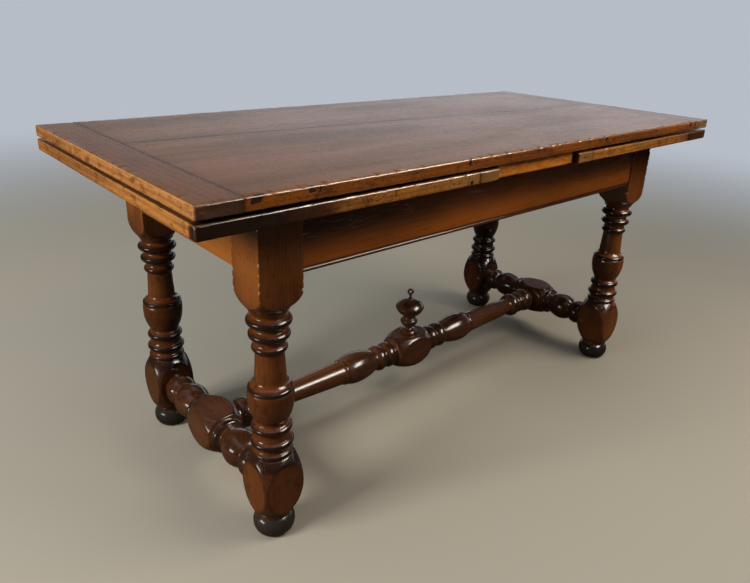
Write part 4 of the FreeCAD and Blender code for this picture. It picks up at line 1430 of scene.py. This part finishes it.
def turned_piece(node, finish, axis, middle, outline, half, tone, seed, crest_share=1.0):
    """A surface of angle and height: radius = smaller(turned outline, square stock) less a little wear.

    middle: where the axis lies. half: half the stock, or None where no square is left. tone: a value for
    each height. The angles crowd at the square's corners. The shoulder is what is round on a block.
    """
    heights, radii = outline
    even = np.linspace(0, 2 * np.pi, RING_POINTS, endpoint=False)
    turn = even + CORNER_CROWDING * np.sin(4 * even)
    reach = np.broadcast_to(radii[:, None], (len(radii), RING_POINTS))
    up = np.broadcast_to(heights[:, None], reach.shape)
    block = np.zeros(reach.shape)
    on_flat = np.zeros(reach.shape)
    if half is not None:
        nick = np.clip(waves(up, turn[None, :] * NICK_GIRTH, NICK_LENGTH, seed) - NICK_LEVEL, 0, 1)
        stock = square_reach(turn[None, :], half, CORNER_WEAR * (CORNER_LEAST + CORNER_NICK * nick))
        on_flat = past(radii[:, None], stock, FLAT_EDGE)
        block = past(radii[:, None], half, FLAT_EDGE)
        reach = smaller(reach, stock)
    sway = wander(up, turn[None, :] * TURNED_SWAY_GIRTH, TURNED_SWAY_LENGTH, seed + 1)
    reach = reach - TURNED_SWAY * sway
    flat = np.stack([reach * np.cos(turn), reach * np.sin(turn), up], axis=-1)
    surface = np.roll(flat, AXIS_ROLL[axis], axis=-1) + np.array(middle)
    values = {
        "tone": tone[:, None],
        "crest": crest_share * crest_of(heights, radii)[:, None] * (1 - block),
        "rub": on_flat * np.exp(-(np.pi / 4 - folded(turn)) / RUB_ANGLE)[None, :],
        "shoulder": block * (1 - on_flat),
    }
    make_piece("turned", node, finish, seed, surface, values)
    print("turned", node, "rows", len(heights), "widest in mm", round(2 * reach.max() / MM))


print("points round a turning", RING_POINTS)

# %% [markdown]
# ## Legs and feet
# The four legs are alike: a low block that takes the stretcher, rings, a vase with a tapering neck, three
# more rings, and a tall block that takes the aprons. A bun foot is a separate turning, pegged in below, and
# has gone black from floor polish. The blocks are lighter than the turning, which tone says by height. A
# lift
# per leg paints light and shade on it: the front right leg is lighter, where more light falls on it, and
# the back right one darker, in the shade under the table.

# %% Turn the legs and feet
LEG_STOCK = 92 * MM
LEG_START = (46.0, 35.0)
LEG_ROWS = (
    (54, None, 37), (192, 62.5, 41), (194, None, 38.5), (206, 41.5, 37), (216, 35, 37), (232, 43.3, 37),
    (248, 34.5, 35), (264, 40.8, 34.5), (275, 31.8, 34.5), (322, 43.3, 45.7), (337, 45.8, 44.4),
    (338.5, None, 43.4), (348, 44.8, 41.5), (362, 33, 31), (416, None, 28), (422, 28.2, 30),
    (436, 34.4, 30), (448, 29, 31.5), (465, 39.9, 31.5), (476, 30.3, 34), (494, 43.4, 34),
    (504, 33.4, 37), (522, 41.5, 50), (548, 61.5, 66.05), (705.5, None, 66.05),
)
LEG_TONE = (
    (46, 0.15), (75, 0.36), (150, 0.36), (172, 0.24), (182, -0.40), (194, -0.40), (204, 0.05), (215, 0.05),
    (300, 0.16), (335, 0.1), (350, 0.2), (390, 0.42), (430, 0.15), (510, 0.12), (540, 0.7), (590, 1.0),
)
# Painted light and shade per leg: lighter where more light falls, darker in the shade under the table.
LEG_PAINTED_LIGHT = {"front_left": 0.0, "front_right": 0.60, "back_left": 0.0, "back_right": -0.35}
LEG_SEED = 113
FOOT_START = (0.0, 31.0)
FOOT_ROWS = ((46, 43.2, 34.5),)
FOOT_SEED = 151
SEED_STEP = 7

leg_outline = turned_outline(LEG_START, LEG_ROWS)
leg_tone = np.interp(leg_outline[0] / MM, *np.transpose(LEG_TONE))
foot_outline = turned_outline(FOOT_START, FOOT_ROWS)
foot_tone = np.linspace(0, 1, len(foot_outline[0]))
# Each leg's tone is raised or lowered by its painted light or shade.
for index, (corner, painted_light) in enumerate(LEG_PAINTED_LIGHT.items()):
    low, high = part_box("leg_" + corner)
    middle = ((low.x + high.x) / 2, (low.y + high.y) / 2, 0)
    turned_piece(
        "leg_" + corner, FINISH["leg"], "z", middle, leg_outline,
        half=LEG_STOCK / 2, tone=leg_tone + painted_light, seed=LEG_SEED + SEED_STEP * index,
    )
    turned_piece(
        "foot_" + corner, FINISH["foot"], "z", middle, foot_outline,
        half=None, tone=foot_tone, seed=FOOT_SEED + SEED_STEP * index, crest_share=0.0,
    )

# %% [markdown]
# ## Stretchers
# An end stretcher joins each pair of legs, and the long stretcher joins the two end ones, each with a
# square block left in its middle. One could trace each from end to end, but both are the same to left and
# right. So the outline is traced from the middle outwards and mirrored: heights and radii are put back to
# front before themselves. An end stretcher is lightest on its block, and the long one along its tapering
# shafts.

# %% Trace the stretchers
STRETCHER_STOCK = 88 * MM
STRETCHER_HOLD = 3
KNOP_START = (0.0, 59.0)
END_REACH = 197.5
END_ROWS = (
    (50, 56, 46.3), (54, None, 38), (56, None, 37), (71, 41, 34), (76, 28.5, 30), (115.5, 37.8, 41.2),
    (148.5, 38.4, 29), (152.5, 27.5, 28.5), (189.5, 37, 30), (END_REACH + STRETCHER_HOLD, None, 30),
)
LONG_REACH = 564.0
LONG_ROWS = (
    (56, 55.3, 43.2), (66, 38.5, 30), (69, None, 28.5), (98, 35.5, 28.5), (103, 27, 28.5),
    (132, 35.5, 28.5), (135, None, 28), (197, 37.5, 41.3), (236, 40, 34.5), (238, None, 33),
    (246, 35, 32.5), (248, None, 31.5), (446, None, 24), (453, 23.8, 27), (483, 36.6, 28),
    (491, 26.8, 28.3), (509, 33.6, 28.3), (517, 26.8, 28.5), (553, 37.3, 30),
    (LONG_REACH + STRETCHER_HOLD, None, 30),
)


def mirrored(outline):
    """An outline from the middle outwards, made whole."""
    heights, radii = outline
    return np.concatenate([-heights[:0:-1], heights]), np.concatenate([radii[:0:-1], radii])


end_outline = mirrored(turned_outline(KNOP_START, END_ROWS))
long_outline = mirrored(turned_outline(KNOP_START, LONG_ROWS))
print("rows of the outlines", len(end_outline[0]), len(long_outline[0]))

# %% Turn the stretchers
END_TONE = 0.25
END_BLOCK_LIFT = 0.4
END_BLOCK_REACH = 60 * MM
LONG_TONE = 0.35
SHAFT_LIFT = 0.5
SHAFT_START = 200 * MM
SHAFT_BLUR = 100 * MM
END_SEEDS = {"left": 181, "right": 191}

end_tone = END_TONE + END_BLOCK_LIFT * np.exp(-((end_outline[0] / END_BLOCK_REACH) ** 2))
long_tone = LONG_TONE + SHAFT_LIFT * past(np.abs(long_outline[0]), SHAFT_START, SHAFT_BLUR)
for side, seed in END_SEEDS.items():
    low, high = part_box("stretcher_" + side)
    middle = ((low.x + high.x) / 2, 0, (low.z + high.z) / 2)
    turned_piece(
        "stretcher_" + side, FINISH["end_stretcher"], "y", middle, end_outline,
        half=STRETCHER_STOCK / 2, tone=end_tone, seed=seed,
    )
long_low, long_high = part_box("stretcher_long")
long_middle = (0, 0, (long_low.z + long_high.z) / 2)
turned_piece(
    "stretcher_long", FINISH["long_stretcher"], "x", long_middle, long_outline,
    half=STRETCHER_STOCK / 2, tone=long_tone, seed=199,
)

# %% [markdown]
# ## Finial
# A small turned finial stands on the long stretcher's block: a disc, a knop, and a flattened ball. It has
# no square left on it, so it is the outline alone, spun about its axis. A Screw modifier could spin it too,
# but the same function as for the legs also gives it the values that its finish reads.

# %% Turn the finial
FINIAL_START = (0.0, 24.0)
FINIAL_ROWS = (
    (6, None, 24), (12, 22, 13), (18, 10, 9.5), (36, 19.5, 24.3), (46, 23.8, 18.5), (56, 16.5, 18.5),
    (80, 33.5, 39.9), (103, 33, 9), (107, 8, 5.5),
)
FINIAL_TONE = 0.2
FINIAL_CREST = 0.3

finial_outline = turned_outline(FINIAL_START, FINIAL_ROWS)
turned_piece(
    "finial", FINISH["finial"], "z", (0, 0, long_high.z), finial_outline, half=None,
    tone=np.full(len(finial_outline[0]), FINIAL_TONE), seed=211, crest_share=FINIAL_CREST,
)

# %% [markdown]
# ## Pieces that keep their solids
# End aprons, sliding bearers, loose tongues, pegs, screws and the iron ring are plain sawn, turned or bent
# things with crisp edges, so their packed solids already have the right shape. They only need a finish.

# %% Finish the solids that stay
KEPT = {
    "end_apron": ["apron_left", "apron_right"],
    "bearer": ["left_loper_front", "left_loper_back", "right_loper_front", "right_loper_back"],
    "rail": ["middle_bearer", "top_tongue", "left_leaf_tongue", "right_leaf_tongue"],
    "peg": [
        "apron_pegs", "stretcher_pegs", "top_clamp_pegs", "top_guide_pegs", "left_leaf_clamp_pegs",
        "right_leaf_clamp_pegs", "left_stop_pegs", "right_stop_pegs",
    ],
    "screw": ["centre_board_screws", "left_loper_screws", "right_loper_screws"],
    "eye": ["finial_eye"],
}
for key, nodes in KEPT.items():
    for node in nodes:
        mesh = frame["nodes"][node].data
        mesh.materials.clear()
        mesh.materials.append(FINISH[key])
print("solids kept", sum(len(nodes) for nodes in KEPT.values()))

# %% [markdown]
# ## Floor
# The table stands on a plain pale floor. A small square floor would show its edge, so this one is a wide
# disc. Its beige middle takes the light and the shadow, and further out it fades into the backdrop's tone,
# which it gives off by itself, so that no horizon shows. Only the camera sees that glow and that beige: to
# the table the floor is darker, so that it throws little light up at the undersides.

# %% Lay the floor
FLOOR_RADIUS = 14.0
FLOOR_SIDES = 96
FLOOR_BEIGE = (0.375, 0.352, 0.296)
FLOOR_SHADED = (0.08, 0.065, 0.045)
FLOOR_FADE = (1.6, 5.0)
BLACK = (0.0, 0.0, 0.0)

turn = np.linspace(0, 2 * np.pi, FLOOR_SIDES, endpoint=False)
rim = np.stack([FLOOR_RADIUS * np.cos(turn), FLOOR_RADIUS * np.sin(turn), 0 * turn], axis=1)
floor_mesh = bpy.data.meshes.new("floor")
floor_mesh.from_pydata(rim.tolist(), [], [list(range(FLOOR_SIDES))])
floor_finish = Finish("floor")
distance = floor_finish.add("ShaderNodeVectorMath", {"operation": "LENGTH"}, {0: floor_finish.place()}, 1)
fade = distance.smooth(*FLOOR_FADE)
direct = floor_finish.add("ShaderNodeLightPath", output="Is Camera Ray")
beige = floor_finish.mix(direct, FLOOR_SHADED, FLOOR_BEIGE)
floor_finish.feed({
    "Base Color": floor_finish.mix(fade, beige, BLACK),
    "Emission Color": floor_finish.mix(fade * direct, BLACK, BACKDROP),
    "Emission Strength": 1.0,
    "Roughness": 0.9,
    "Specular IOR Level": 0.0,
})
floor_mesh.materials.append(floor_finish.material)
floor = new_object("floor", floor_mesh)
floor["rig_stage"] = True
print("floor radius in m", FLOOR_RADIUS)

# %% Measure and finish
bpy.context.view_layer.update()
shown = [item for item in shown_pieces() if item.type == "MESH"]
triangles = sum(len(face.vertices) - 2 for item in shown for face in item.data.polygons)
print("pieces", len(shown), "triangles", triangles)
